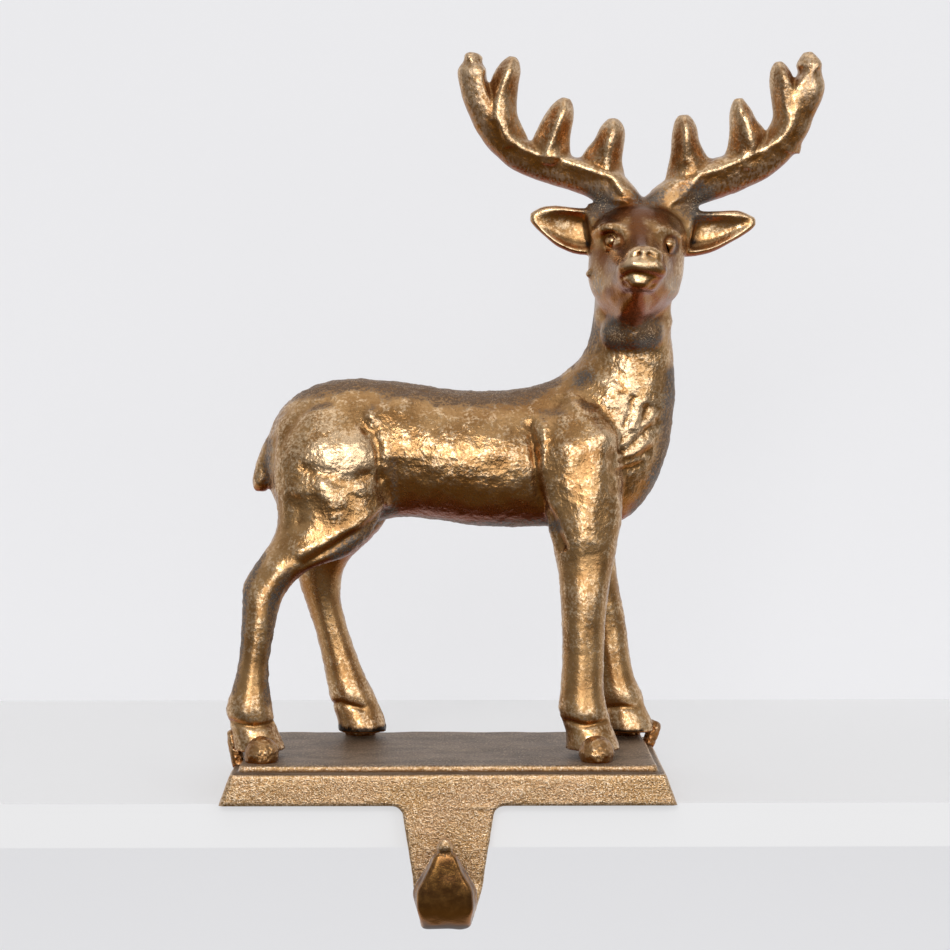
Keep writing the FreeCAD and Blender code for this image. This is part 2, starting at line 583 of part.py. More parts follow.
def hoof_welds(figure, base):
    """Beads between the hooves and the plinth, each shaped by what it joins."""
    lumps = []
    for x, side in BEADS:
        y = FIGURE_MIDDLE_Y + side * (LEG_TRACK / 2 + HOOF_HALF_WIDTH + BEAD_OUTSET)
        lumps.append(Part.makeSphere(BEAD_RADIUS, Vec(x, y, PLINTH_TOP + BEAD_SINK)))
    ledge_x = PLINTH_LENGTH / 2 - END_BATTER - END_LEDGE / 2
    near_y = FIGURE_MIDDLE_Y - LEG_TRACK / 2
    far_y = FIGURE_MIDDLE_Y + LEG_TRACK / 2
    lumps.append(drip(Vec(NEAR_HIND_LEG[-1][1][0], near_y, SOLE_HEIGHT + NEAR_DRIP_START),
                      Vec(-ledge_x, near_y, LOWER_TIER_HEIGHT)))
    lumps.append(drip(Vec(FAR_FRONT_LEG[-1][0][0], far_y, SOLE_HEIGHT + FAR_DRIP_START),
                      Vec(ledge_x, far_y, LOWER_TIER_HEIGHT)))
    beads = []
    for lump in lumps:
        pieces = lump.cut([figure, base]).Solids
        beads.append(max(pieces, key=lambda piece: piece.Volume))
    return Part.makeCompound(beads)


def main():
    os.makedirs("parts", exist_ok=True)
    figure = stag_figure()
    base = hook_base()
    welds = hoof_welds(figure, base)
    for name, shape in (("stag_figure", figure), ("hook_base", base), ("hoof_welds", welds)):
        print(name, len(shape.Solids), "solids, valid", shape.isValid(), "volume", round(shape.Volume))
        shape.exportStep(os.path.join("parts", name + ".step"))


main()
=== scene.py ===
import math

import bpy
import bmesh
import numpy as np
from mathutils import Matrix, Vector

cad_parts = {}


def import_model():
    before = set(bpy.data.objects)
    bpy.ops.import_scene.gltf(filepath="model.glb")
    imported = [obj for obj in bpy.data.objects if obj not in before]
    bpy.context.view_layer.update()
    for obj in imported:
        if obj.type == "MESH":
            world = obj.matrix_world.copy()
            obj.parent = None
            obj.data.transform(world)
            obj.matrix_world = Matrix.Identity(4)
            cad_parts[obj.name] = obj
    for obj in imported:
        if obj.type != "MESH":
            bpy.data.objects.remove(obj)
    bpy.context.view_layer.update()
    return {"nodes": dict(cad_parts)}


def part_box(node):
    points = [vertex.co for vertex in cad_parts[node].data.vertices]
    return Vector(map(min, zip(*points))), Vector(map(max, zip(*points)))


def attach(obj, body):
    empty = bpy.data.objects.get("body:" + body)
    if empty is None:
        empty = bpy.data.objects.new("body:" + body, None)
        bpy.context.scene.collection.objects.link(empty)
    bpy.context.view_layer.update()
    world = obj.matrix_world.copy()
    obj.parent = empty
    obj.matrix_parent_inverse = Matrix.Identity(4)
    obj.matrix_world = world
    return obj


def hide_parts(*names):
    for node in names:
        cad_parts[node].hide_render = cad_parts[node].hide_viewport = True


# Looks of a mantel stocking holder: a cast stag welded to a stepped plinth with a hook.
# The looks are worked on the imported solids. Tables of forms count in millimetres from
# the stag's middle plane and above its soles, with x along the plinth. The picture shows
# the body's side and the face's front, so both are drawn in the same view, in x and z.

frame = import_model()

MM = 0.001
SOLE_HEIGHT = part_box("stag_figure")[0].z / MM
FIGURE_MIDDLE_Y = 40.0
FIGURE_ORIGIN = np.array([0.0, FIGURE_MIDDLE_Y, SOLE_HEIGHT])

# How fine each casting is modelled
FIGURE_VOXEL = 0.48
FIGURE_TRIANGLES = 196000
BASE_VOXEL = 0.62
BASE_TRIANGLES = 150000
WELD_VOXEL = 0.36

# Camera that took the picture, in the row's frame
CAMERA_PLACE = (0.0, -0.892, 0.1652)
SENSOR_WIDTH = 36.0
PICTURE_PIXELS = 950.0
FOCAL_PIXELS = 2492.0
AIM_RIGHT_PIXELS = 27.0
AIM_DOWN_PIXELS = 130.0

# Groove across the hook's front, below its tip
HOOK_GROOVE_HEIGHT = -11.8
HOOK_GROOVE_WIDTH = 1.1
HOOK_GROOVE_DEPTH = 0.9
HOOK_TIP = (20.0, 24.0)

# Where the base's skin changes, as the start and the end of a soft step: the hook's smooth
# front, the faces that rest on the mantel, and the slope of an upright face
HOOK_SKIN_DOWN = (10.0, 16.0)
HOOK_SKIN_FRONT = (9.0, 14.0)
HOOK_PAINT_DOWN = (8.0, 15.0)
HOOK_PAINT_FRONT = (8.0, 13.0)
RESTING_TOP = (0.8, -0.2)
RESTING_FOOT = (-1.4, -0.4)
UPRIGHT_SLOPE = (0.7, 0.3)
GRIT_ON_TOP = 0.35
GRIT_UPRIGHT = 0.65
GRIT_LOST_ON_HOOK = 0.8

# How much darker the plinth's upper step is made, through the hollow weight
STEP_DARKENING = 0.35
STEP_DARKENING_HEIGHT = (11.0, 11.8)

# Layers of noise that make a skin: height, size of a dent and seed
HAMMER_LAYERS = ((0.34, 8.0, 3), (0.20, 4.0, 5), (0.08, 2.2, 7))
ROUGH_LAYERS = ((0.18, 1.7, 11), (0.12, 1.1, 17))
GRIT_LAYERS = ((0.07, 1.5, 21), (0.09, 3.0, 23))
SWELL_LAYERS = ((0.22, 12.0, 27),)
HOOK_LAYERS = ((0.25, 4.5, 29),)
WELD_LAYERS = ((0.30, 2.2, 31), (0.18, 1.0, 37))
WELD_SWELL = 0.2

# Passes of smoothing, and how far each pass goes
FIRST_PASSES = 2
CREASE_PASSES = 38
CREASE_SHARE = 0.6
CREASE_KEPT_ON_FACE = 0.6
FACE_PASSES = 5
FACE_SHARE = 0.5
LAST_SMOOTHING = (1, 0.3)
HOLLOW_SHARE = 0.7

# How a hollow is found: passes of smoothing and the depth of a full one
FIGURE_HOLLOW = (24, 0.9)
BASE_HOLLOW = (16, 0.7)
WELD_HOLLOW = (10, 0.5)
PIT = (5, 0.16)

# Paint of the weld beads, the same all over
WELD_PAINT = {"wash": 0.15, "bumpy": 0.8, "stain_and_shade": 0.45, "worn_and_highlit": 0.0}

# Regions of the stag, as the start and the end of a soft step in height
BODY_TOP = (152.0, 144.0)
BACK_FOOT = (60.0, 80.0)
HAMMERED_FOOT = (60.0, 90.0)
HAMMERED_TOP = (158.0, 145.0)
NECK_FOOT = (88.0, 94.0)
NECK_TOP = (150.0, 144.0)
FACE_FOOT = (143.0, 149.0)
FACE_TOP = (197.0, 192.0)
EARS_FOOT = (166.0, 170.0)
EARS_TOP = (202.0, 198.0)
PARTING_TOP = (156.0, 146.0)
# The same in depth, away from the middle plane
FACE_FRONT = (2.0, 8.0)
EAR_FRONT = (-14.0, -8.0)
FLANK_SIDE = (4.0, 10.0)
LEG_SIDE = (0.0, 6.0)
# The same in how much a face of the skin looks sideways or up
MELT_FACING = (-0.3, 0.2)
FLANK_FACING = (0.15, 0.6)
VIEWER_FACING = (0.1, 0.5)
PARTING_FACING = (0.55, 0.15)
EDGE_FACING = (0.4, 0.05)
BACK_FACING = (0.6, 0.97)

# How hammered the skin is: everywhere, more on the body and the antlers, and at most
BUMPY_ALL = 0.33
BUMPY_BODY = 0.67
BUMPY_ANTLER = 0.3
BUMPY_MOST = 1.2
# How rough the parting and the pitted patches are
PARTING_ROUGHNESS = 0.9
PITTED_ROUGHNESS = 2.2

# Board and wall that it stands against
BOARD_DEPTH = 0.262
BOARD_THICKNESS = 0.016
STAGE_HALF_WIDTH = 1.6
STAGE_HEIGHT = 1.6
# Colour of each, and the share of it that is plain white to the camera
BOARD_TOP_PAINT = ((0.84, 0.84, 0.85, 1.0), 0.55)
BOARD_PAINT = ((0.86, 0.86, 0.87, 1.0), 0.6)
WALL_PAINT = ((0.84, 0.84, 0.86, 1.0), 0.8)

# Lamps, all turned to the holder's middle: name, place, width, height and power
LAMP_TARGET = (0.0, 0.03, 0.13)
LAMPS = (
    ("window", (-0.10, -1.75, 0.45), 1.05, 1.35, 12.5),
    ("glint_strip", (-0.35, -1.65, 0.80), 0.45, 0.25, 4.0),
    ("side_window", (0.95, -1.35, 0.45), 0.7, 1.0, 5.5),
    ("ceiling", (0.0, -0.2, 1.7), 1.4, 1.2, 3.5),
)
# Strength of the room's own light, from below, at the horizon and what is added above
LOW_LIGHT = 0.14
HORIZON_LIGHT = 0.30
HIGH_LIGHT = 0.22
ROOM_COLOUR = (1.0, 0.99, 0.98, 1.0)

# Forms on both flanks, in side view: path of (x, z), width and height
FLANK_FORMS = [
    ([(-27.0, 122.5), (-21.0, 125.0), (-15.5, 127.0)], 3.0, 0.8),
    ([(-28.4, 122.0), (-27.7, 119.5)], 2.4, 1.3),
    ([(-24.5, 114.0), (-23.0, 109.0), (-24.0, 103.0), (-22.6, 97.0), (-23.2, 91.0)], 2.4, 0.45),
    ([(-47.4, 110.7), (-44.5, 108.0)], 5.5, 0.8),
    ([(-35.0, 111.5), (-32.0, 107.5)], 6.0, 0.9),
    ([(-45.0, 97.0), (-42.0, 91.5)], 4.2, 1.2),
    ([(-53.3, 94.7)], 3.0, 0.7),
    ([(-40.5, 84.5)], 3.0, 0.6),
    ([(-23.0, 90.5), (-32.0, 83.7), (-46.0, 76.0), (-53.5, 72.5)], 2.0, 0.9),
    ([(-50.0, 121.0), (-43.0, 124.5)], 6.0, 0.5),
    ([(-62.5, 68.0), (-57.5, 72.5), (-52.0, 76.5)], 3.8, 0.8),
    ([(-18.0, 112.0), (8.0, 110.0), (30.0, 110.0)], 13.0, 1.0),
    ([(33.5, 118.0), (40.0, 120.0), (47.0, 120.5), (52.5, 115.5), (57.5, 112.0)], 3.6, 1.0),
    ([(41.5, 112.0), (48.0, 111.0)], 6.5, 0.9),
    ([(46.0, 127.0), (53.0, 122.0), (59.0, 114.0)], 3.4, 1.4),
    ([(35.4, 117.0), (35.8, 104.0), (37.6, 91.0)], 3.0, 1.4),
    ([(47.0, 86.0), (47.0, 78.0)], 6.0, 0.6),
    ([(45.5, 110.0), (44.0, 104.5), (42.0, 98.0)], 4.5, 0.6),
    ([(54.7, 113.5), (54.4, 106.0), (53.0, 97.0), (51.8, 90.0), (49.5, 78.0)], 4.5, 0.9),
]
FLANK_GROOVES = [
    ([(-30.0, 117.3), (-27.3, 116.5), (-25.9, 112.0), (-25.5, 106.0), (-24.8, 99.5)], 1.9, 1.0),
    ([(-19.0, 104.0), (-20.5, 93.0)], 3.0, 0.6),
    ([(-52.0, 102.7), (-46.0, 101.2), (-39.5, 98.3), (-35.0, 98.3), (-30.0, 100.5)], 2.6, 0.8),
    ([(-55.0, 91.5), (-54.0, 84.5)], 3.0, 0.8),
    ([(-37.5, 117.3)], 3.4, 0.5),
    ([(-23.7, 87.5), (-32.2, 80.5), (-45.0, 73.0), (-52.0, 68.5)], 1.5, 0.8),
    ([(-64.5, 113.5), (-65.2, 106.0), (-66.0, 97.0)], 1.7, 1.0),
    ([(-35.0, 93.0), (-36.0, 87.0)], 2.6, 0.5),
    ([(30.0, 118.5), (31.2, 112.0), (32.0, 104.5), (32.6, 97.0), (35.2, 90.5), (39.2, 81.5),
      (42.0, 75.0)], 1.8, 1.5),
    ([(34.0, 125.0), (42.0, 127.0), (49.5, 126.5)], 2.6, 0.5),
    ([(27.5, 116.0), (29.5, 108.0)], 4.0, 0.6),
    ([(49.0, 107.0), (49.3, 102.0)], 3.0, 0.5),
]
# Folds of the neck and the chest, on the viewer's side
NECK_FORMS = [
    ([(65.6, 111.0), (70.3, 117.0), (75.8, 122.0)], 2.0, 0.7),
    ([(63.0, 107.0), (67.4, 108.0), (74.0, 112.7)], 1.8, 0.7),
    ([(63.0, 104.0), (69.3, 105.7)], 1.6, 0.6),
    ([(62.0, 99.5)], 2.2, 0.5),
    ([(70.3, 126.3), (69.6, 122.6), (67.4, 118.0)], 1.9, 0.8),
    ([(59.3, 133.6), (60.0, 128.0)], 3.8, 0.8),
    ([(73.2, 128.0), (74.0, 133.5)], 2.6, 0.5),
    ([(65.0, 140.0), (68.0, 133.0)], 3.4, 0.5),
]
NECK_GROOVES = [
    ([(58.5, 112.0), (60.0, 102.5), (61.3, 96.5)], 2.5, 0.6),
    ([(63.8, 109.0), (68.2, 112.3), (74.0, 117.8)], 1.5, 0.5),
    ([(63.0, 105.7), (68.2, 106.5), (73.3, 109.0)], 1.4, 0.5),
    ([(62.3, 102.0), (67.5, 103.2), (71.0, 104.6)], 1.5, 0.5),
    ([(68.0, 128.0), (67.4, 123.7), (65.2, 119.0)], 1.5, 0.6),
    ([(72.5, 125.2), (72.2, 121.5)], 1.6, 0.5),
]
# Fine forms of the face, in front view
FACE_FORMS = [
    ([(56.6, 190.6), (60.0, 191.8), (64.0, 189.8)], 1.9, 1.2),
    ([(76.2, 189.8), (80.0, 190.4), (84.2, 187.8)], 1.9, 1.1),
    ([(65.6, 181.2), (70.5, 182.0), (75.0, 181.0)], 2.2, 0.7),
    ([(61.8, 176.2), (65.5, 177.0)], 1.9, 0.9),
    ([(73.5, 176.8), (76.2, 175.2)], 1.9, 0.5),
    ([(66.4, 170.6), (68.8, 170.4)], 1.5, 0.7),
    ([(60.5, 165.0), (62.5, 160.5)], 2.8, 1.2),
    ([(75.0, 165.0), (72.0, 160.5)], 2.8, 1.2),
]
FACE_GROOVES = [
    ([(65.4, 190.0), (64.0, 184.0), (61.4, 179.0)], 1.7, 0.5),
    ([(74.8, 190.6), (76.2, 185.0), (77.4, 179.0)], 1.7, 0.5),
    ([(61.0, 171.6), (64.8, 173.6), (70.6, 173.2), (75.4, 171.8)], 0.8, 0.6),
    ([(67.5, 180.4)], 0.8, 0.6),
    ([(71.0, 180.2)], 0.8, 0.6),
    ([(62.0, 168.6), (63.0, 166.5)], 2.0, 1.4),
    ([(73.6, 168.8), (72.8, 166.5)], 2.2, 1.4),
]
# Each eye: middle, half width and half height of its lids, and the place of its plug
EYES = [
    ((60.0, 186.2), 3.1, 2.7, (59.0, -18.2, 186.0)),
    ((81.2, 184.6), 2.8, 3.2, (80.8, -22.6, 184.4)),
]
EYE_PLUG_RADIUS = 4.2
EYE_BALL_WIDTH = 1.7
EYE_BALL_HEIGHT = 1.0
LID_WIDTH = 0.75
LID_DEPTH = 0.55
LID_SIDES = 12
# Round lumps that carry the jaw into the neck
JAW_LUMPS = [
    ((78.0, -9.0, 163.0), 5.0),
    ((78.6, -8.0, 157.0), 5.0),
    ((59.2, -7.5, 159.0), 5.2),
    ((62.0, -13.5, 153.0), 6.0),
    ((68.0, -16.0, 153.0), 6.0),
    ((74.0, -13.5, 153.0), 6.0),
]
# The cheeks are drawn in towards the head's middle
HEAD_MIDDLE_X = 69.5
CHEEK_HEIGHT = 181.0
CHEEK_REACH = 9.0
CHEEK_DRAW = 2.2
CHEEK_INNER = (9.0, 15.0)
CHEEK_OUTER = (30.0, 20.0)
# How strongly the places below are melted
MELT_PASSES = 70
MELT_SHARE = 0.5
MELT_GAIN = 1.6
# Places of the face that are melted smooth before its fine forms are cut
FACE_MELTS = [
    ([(59.4, 185.8), (59.4, 188.0)], 6.4, 1.0),
    ([(80.4, 183.8), (80.4, 186.0)], 6.4, 1.0),
    ([(69.0, 178.0), (68.0, 150.0)], 10.0, 1.0),
    ([(79.0, 166.0), (79.5, 154.0)], 6.0, 1.0),
    ([(58.0, 164.0), (57.5, 154.0)], 6.0, 1.0),
    ([(59.0, 153.0), (78.0, 153.0)], 6.5, 1.0),
]
# Places of the near flank that are melted, in side view: the shoulder and the leg's top
FLANK_MELTS = [
    ([(44.0, 116.0), (45.0, 100.0), (47.0, 88.0), (48.5, 70.0)], 9.0, 1.0),
    ([(36.5, 119.0), (36.3, 106.0), (37.0, 95.0)], 4.5, 1.0),
]
# Places of the ear bowls that are melted, in front view
EAR_MELTS = [
    ([(37.0, 194.5), (42.5, 192.5), (50.0, 190.0)], 4.2, 1.0),
    ([(94.0, 190.5), (106.5, 194.0)], 4.2, 1.0),
]
# Plugs that close the mouth's deep slit, as x, y and z of the first and of the last
MOUTH_PLUGS = ((63.0, -41.0, 172.4), (75.4, -46.4, 172.4))
MOUTH_PLUG_STEP = 1.2
MOUTH_PLUG_RADIUS = 1.25
# Creases above the hooves, on the near and on the far legs
NEAR_HOOF_GROOVES = [
    ([(-79.4, 10.7), (-71.0, 9.2), (-64.7, 9.9)], 1.0, 0.8),
    ([(43.3, 10.9), (50.3, 9.4), (57.0, 10.5)], 1.0, 0.8),
]
FAR_HOOF_GROOVES = [
    ([(-46.0, 10.0), (-41.5, 11.6), (-33.0, 9.4)], 1.0, 0.7),
    ([(60.8, 9.2), (66.2, 10.0), (72.4, 9.2)], 1.0, 0.7),
]
# Fillings of the two ear bowls, in front view
SOFT_FILLINGS = [
    ([(37.0, 194.5), (42.5, 192.5), (49.0, 190.0)], 3.2, 0.8),
    ([(96.0, 190.5), (106.5, 194.0)], 3.2, 0.8),
]
# Round lumps that join the drip at the far front hoof into one run
FAR_DRIP_LUMPS = [
    ((78.4, 22.0, 1.8), 2.1),
    ((78.2, 22.0, -0.6), 2.2),
    ((78.2, 22.0, -2.8), 2.1),
]
# Sharp ridges along the front of the antlers, in front view
ANTLER_RIDGES = [
    [(64.5, 204.4), (60.8, 210.0), (55.2, 211.8), (48.2, 214.4), (40.8, 217.7), (33.7, 218.4), (27.1, 221.0),
     (21.5, 225.0), (18.2, 232.4), (18.2, 238.3), (20.8, 244.9), (23.0, 249.3)],
    [(36.7, 219.2), (40.0, 226.9), (43.3, 235.0)],
    [(58.9, 213.7), (59.6, 223.2)],
    [(93.1, 211.5), (101.6, 213.7), (109.0, 217.0), (116.0, 220.3), (122.3, 223.3), (126.7, 228.8),
     (128.1, 235.4), (127.4, 241.0), (124.0, 247.2)],
    [(112.7, 219.6), (111.1, 227.0), (110.4, 231.8)],
    [(87.8, 216.6), (87.8, 228.0)],
    [(60.8, 201.9), (65.3, 200.8), (68.2, 198.9)],
    [(80.5, 198.2), (83.1, 200.8), (87.5, 203.4), (93.1, 211.5)],
]
# Size of the ridges, and how far the polish and painted highlight on them and the painted shade beside them
# reach
RIDGE_WIDTH = 1.5
RIDGE_HEIGHT = 0.7
RIDGE_WORN_AND_HIGHLIT_WIDTH = 2.3
SHADE_BESIDE_RIDGE = 4.8
# Height at which the antlers begin, and over which their paint and their ridges set in
ANTLER_FOOT = 202.0
ANTLER_BLEND = 5.0
RIDGE_BLEND = 6.0
# Small nub of the casting at the left cheek
CHEEK_NUB = ((51.0, -15.0, 174.5), 1.8)

# Pitted patches of the casting, as (x, y, z), reach and strength
PITTED_SPOTS = [
    ((-29.0, -24.0, 121.0), 4.5, 1.0),
    ((-23.5, -24.0, 105.0), 3.5, 0.5),
    ((-23.0, -22.0, 94.0), 3.5, 0.5),
    ((70.0, -18.0, 114.0), 8.0, 0.25),
    ((59.5, -20.0, 131.0), 4.5, 0.8),
    ((63.5, -20.0, 98.0), 4.5, 0.8),
    ((-62.0, -22.0, 57.0), 4.0, 0.5),
    ((-64.5, -22.0, 43.0), 4.0, 0.6),
    ((-65.5, -22.0, 28.0), 4.0, 0.5),
    ((60.0, 0.0, 203.0), 6.0, 0.7),
    ((78.0, 0.0, 202.0), 6.0, 0.7),
    ((-30.0, -18.0, 78.0), 7.0, 0.6),
    ((67.0, -22.0, 152.0), 6.0, 0.7),
    ((104.0, 0.0, 214.0), 9.0, 0.5),
]

# Skin with little hammering, as (x, y, z), reach and how much of it is missing
SMOOTH_SPOTS = [
    ((44.0, -26.0, 110.0), 13.0, 0.55),
    ((48.0, -22.0, 88.0), 15.0, 0.6),
    ((-55.0, -22.0, 80.0), 10.0, 0.4),
]
# Polished places where the gold is brightest, also painted highlights on the haunch, the neck, the ears and
# the nose, as (x, y, z), reach and strength
WORN_AND_HIGHLIT_SPOTS = [
    ((-38.0, -26.0, 108.0), 11.0, 0.6),
    ((68.0, -18.0, 118.0), 12.0, 0.6),
    ((64.0, -18.0, 136.0), 10.0, 0.35),
    ((42.0, -8.0, 193.0), 7.0, 0.8),
    ((101.0, -8.0, 192.5), 8.0, 0.8),
    ((66.0, -50.0, 175.0), 6.0, 0.6),
]
# Polish and pale haze of the antlers, and painted shade on their flanks beside the ridges
ANTLER_POLISH = 0.12
ANTLER_HAZE = 0.4
ANTLER_FLANK_SHADE = 0.75

# Grey wash along the casting's parting
EDGE_WASH = 0.25
# Grey wash left in hollows, as (x, y, z), reach and strength
WASH_SPOTS = [
    ((74.5, -13.0, 204.5), 6.5, 1.2),
    ((55.5, -8.0, 201.0), 6.5, 1.3),
    ((92.5, -7.0, 200.5), 7.5, 1.3),
    ((8.6, 0.0, 254.5), 4.5, 0.8),
    ((137.0, 0.0, 255.0), 4.5, 0.8),
    ((62.0, -19.0, 152.0), 7.0, 1.2),
    ((73.0, -19.0, 152.0), 7.0, 1.2),
    ((70.5, -51.0, 180.0), 3.6, 0.5),
    ((54.0, 0.0, 152.0), 12.0, 0.8),
    ((49.0, -14.0, 137.0), 5.5, 1.0),
    ((83.0, -22.0, 184.0), 4.0, 0.6),
]
# The same in side view, as a path of (x, z), width and strength
WASH_STROKES = [
    ([(-21.0, 87.0), (-31.0, 79.0), (-41.0, 71.5)], 3.0, 0.7),
    ([(-20.0, 106.0), (-19.5, 90.0)], 2.2, 0.55),
    ([(-18.0, 83.0), (8.0, 80.5), (40.0, 82.0)], 3.0, 0.65),
    ([(83.8, 137.0), (83.0, 127.6), (82.0, 116.4), (80.0, 105.0), (76.0, 94.0), (71.0, 86.0)], 3.8, 0.9),
    ([(-68.0, 71.3), (-74.0, 58.5), (-75.0, 47.5), (-76.0, 36.6), (-78.3, 22.0)], 1.8, 0.7),
    ([(-58.0, 66.0), (-64.0, 54.5), (-64.5, 36.0), (-66.0, 18.0)], 2.0, 0.75),
    ([(-67.5, 98.0), (-66.5, 112.0)], 2.6, 0.6),
]
# Brown stain over the gold of the face, with painted shade in the mouth line, the nostrils, under the chin
# and along the sides of the nose, in front view
FACE_STAINS_AND_SHADE = [
    ([(59.0, 196.5), (69.0, 198.5), (79.0, 196.5)], 4.5, 1.0),
    ([(68.5, 195.0), (69.0, 186.0)], 4.0, 1.0),
    ([(60.0, 166.5), (68.0, 167.0), (76.0, 166.5)], 3.6, 1.3),
    ([(60.5, 161.0), (75.5, 161.0)], 4.2, 1.3),
    ([(62.0, 181.5), (61.0, 176.0), (60.0, 171.0)], 2.0, 0.7),
    ([(61.0, 172.0), (65.0, 174.0), (75.6, 172.2)], 0.9, 0.9),
    ([(77.5, 180.0), (77.0, 174.0)], 1.6, 0.7),
    ([(56.5, 181.5), (58.5, 176.0)], 3.4, 0.75),
    ([(81.0, 179.0), (80.0, 174.5)], 3.0, 0.6),
    ([(67.5, 180.4)], 0.9, 0.9),
    ([(71.0, 180.2)], 0.9, 0.9),
]
# Painted shade round each eye
LID_SHADE = 0.9
# Places darkened through the hollow weight, as (x, y, z), reach and strength: painted shade in the gap at
# the near hind hoof, and darker notches at the withers and between the antlers
SHADE_SPOTS = [
    ((-74.5, -24.0, 1.0), 3.2, 2.0),
    ((49.5, -14.0, 136.0), 4.0, 0.5),
    ((74.5, 0.0, 205.5), 4.0, 0.4),
]
# Painted shadow under the soles of the far hooves, in side view
FAR_SOLE_SHADOW = [
    ([(-43.0, 0.8), (-24.0, 0.8)], 2.2, 2.2),
    ([(60.0, 0.4), (74.0, 0.4)], 1.8, 2.0),
]
# Pale haze on the lower cheeks, as (x, y, z), reach and strength
HAZE_SPOTS = [
    ((54.5, -20.0, 170.0), 6.0, 1.0),
    ((80.0, -24.0, 169.0), 6.5, 1.0),
]


def millimetres(mesh):
    """Vertices in the figure's own coordinates."""
    flat = np.empty(len(mesh.vertices) * 3)
    mesh.vertices.foreach_get("co", flat)
    return flat.reshape(-1, 3) / MM - FIGURE_ORIGIN


def normals_of(mesh):
    flat = np.empty(len(mesh.vertices) * 3)
    mesh.vertex_normals.foreach_get("vector", flat)
    return flat.reshape(-1, 3)


def rise(values, start, end):
    """Smooth step from 0 at start to 1 at end."""
    share = np.clip((values - start) / (end - start), 0.0, 1.0)
    return share * share * (3.0 - 2.0 * share)


def path_distance(flat_points, path):
    """Distance of each point of a view from a path of straight runs."""
    stations = [np.array(station) for station in path]
    nearest = np.linalg.norm(flat_points - stations[0], axis=1)
    for start, end in zip(stations, stations[1:]):
        run = end - start
        share = np.clip((flat_points - start) @ run / (run @ run), 0.0, 1.0)
        gap = np.linalg.norm(flat_points - start - share[:, None] * run, axis=1)
        nearest = np.minimum(nearest, gap)
    return nearest


def stroke(flat_points, path, width):
    """Weight of a soft brush stroke along a path."""
    return np.exp(-(path_distance(flat_points, path) / width) ** 2)


def lattice_noise(points, cell, seed):
    """Smooth noise from -1 to 1 with features of about one cell."""
    side = 32
    table = np.random.RandomState(seed).uniform(-1.0, 1.0, (side, side, side))
    scaled = points / cell
    floor = np.floor(scaled).astype(int)
    share = scaled - floor
    share = share * share * (3.0 - 2.0 * share)
    total = np.zeros(len(points))
    for corner in range(8):
        step = np.array([corner & 1, (corner >> 1) & 1, (corner >> 2) & 1])
        index = (floor + step) % side
        weight = np.prod(np.where(step == 1, share, 1.0 - share), axis=1)
        total += weight * table[index[:, 0], index[:, 1], index[:, 2]]
    return total


def skin_noise(points, layers, start=0.0):
    """Sum of a start and of layers of noise."""
    total = start
    for height, cell, seed in layers:
        total = total + height * lattice_noise(points, cell, seed)
    return total


class Clay:
    """Fine mesh of a casting that is smoothed and pushed like clay."""

    def __init__(self, mesh):
        self.mesh = mesh
        self.points = millimetres(mesh)
        ends = np.empty(len(mesh.edges) * 2, int)
        mesh.edges.foreach_get("vertices", ends)
        self.ends = ends.reshape(-1, 2)
        count = len(self.points)
        self.degree = np.bincount(self.ends.ravel(), minlength=count)[:, None]

    def around(self, values):
        """Mean of each vertex's neighbours."""
        first, second = self.ends[:, 0], self.ends[:, 1]
        columns = []
        for column in values.T:
            total = np.bincount(first, weights=column[second], minlength=len(values))
            total += np.bincount(second, weights=column[first], minlength=len(values))
            columns.append(total)
        return np.stack(columns, axis=1) / self.degree

    def smooth(self, passes, share=0.5):
        for _ in range(passes):
            self.points += (self.around(self.points) - self.points) * share

    def fill_creases(self, passes, share):
        """Smooths only where the surface is hollow, which leaves a fillet there."""
        for _ in range(passes):
            normals = self.normals()
            pull = self.around(self.points) - self.points
            hollow = np.sum(pull * normals, axis=1) > 0.004
            self.points += pull * (share * hollow)[:, None]

    def write(self):
        self.mesh.vertices.foreach_set("co", ((self.points + FIGURE_ORIGIN) * MM).ravel())
        self.mesh.update()

    def normals(self):
        self.write()
        return normals_of(self.mesh)

    def push(self, amount, normals=None):
        """Moves each vertex out along its normal by its amount."""
        if normals is None:
            normals = self.normals()
        self.points += normals * amount[:, None]


def baked(piece):
    """Applies the piece's modifiers to its mesh."""
    bpy.context.view_layer.update()
    graph = bpy.context.evaluated_depsgraph_get()
    final = bpy.data.meshes.new_from_object(piece.evaluated_get(graph))
    piece.modifiers.clear()
    spare = piece.data
    piece.data = final
    bpy.data.meshes.remove(spare)
    return final


def remeshed(name, node, voxel, lumps=()):
    """New piece with the node's form in small even faces, and round lumps melted into it."""
    form = bmesh.new()
    form.from_mesh(frame["nodes"][node].data)
    for (x, y, z), radius in lumps:
        place = (np.array([x, y, z]) + FIGURE_ORIGIN) * MM
        bmesh.ops.create_icosphere(form, subdivisions=3, radius=radius * MM,
                                   matrix=Matrix.Translation(Vector(place)))
    mesh = bpy.data.meshes.new(name)
    form.to_mesh(mesh)
    form.free()
    piece = bpy.data.objects.new(name, mesh)
    bpy.context.scene.collection.objects.link(piece)
    remesh = piece.modifiers.new("fine", "REMESH")
    remesh.mode = "VOXEL"
    remesh.voxel_size = voxel * MM * 1.0
    baked(piece)
    return piece


def thinned(piece, triangles):
    """Collapses edges until the piece has about that many triangles."""
    count = sum(len(face.vertices) - 2 for face in piece.data.polygons)
    if count > triangles:
        collapse = piece.modifiers.new("thin", "DECIMATE")
        collapse.ratio = triangles / count
        baked(piece)
    piece.data.shade_smooth()


def store(mesh, name, values):
    """Keeps one number for each vertex, for the material to read."""
    layer = mesh.attributes.new(name, "FLOAT", "POINT")
    layer.data.foreach_set("value", values.astype(np.float32))


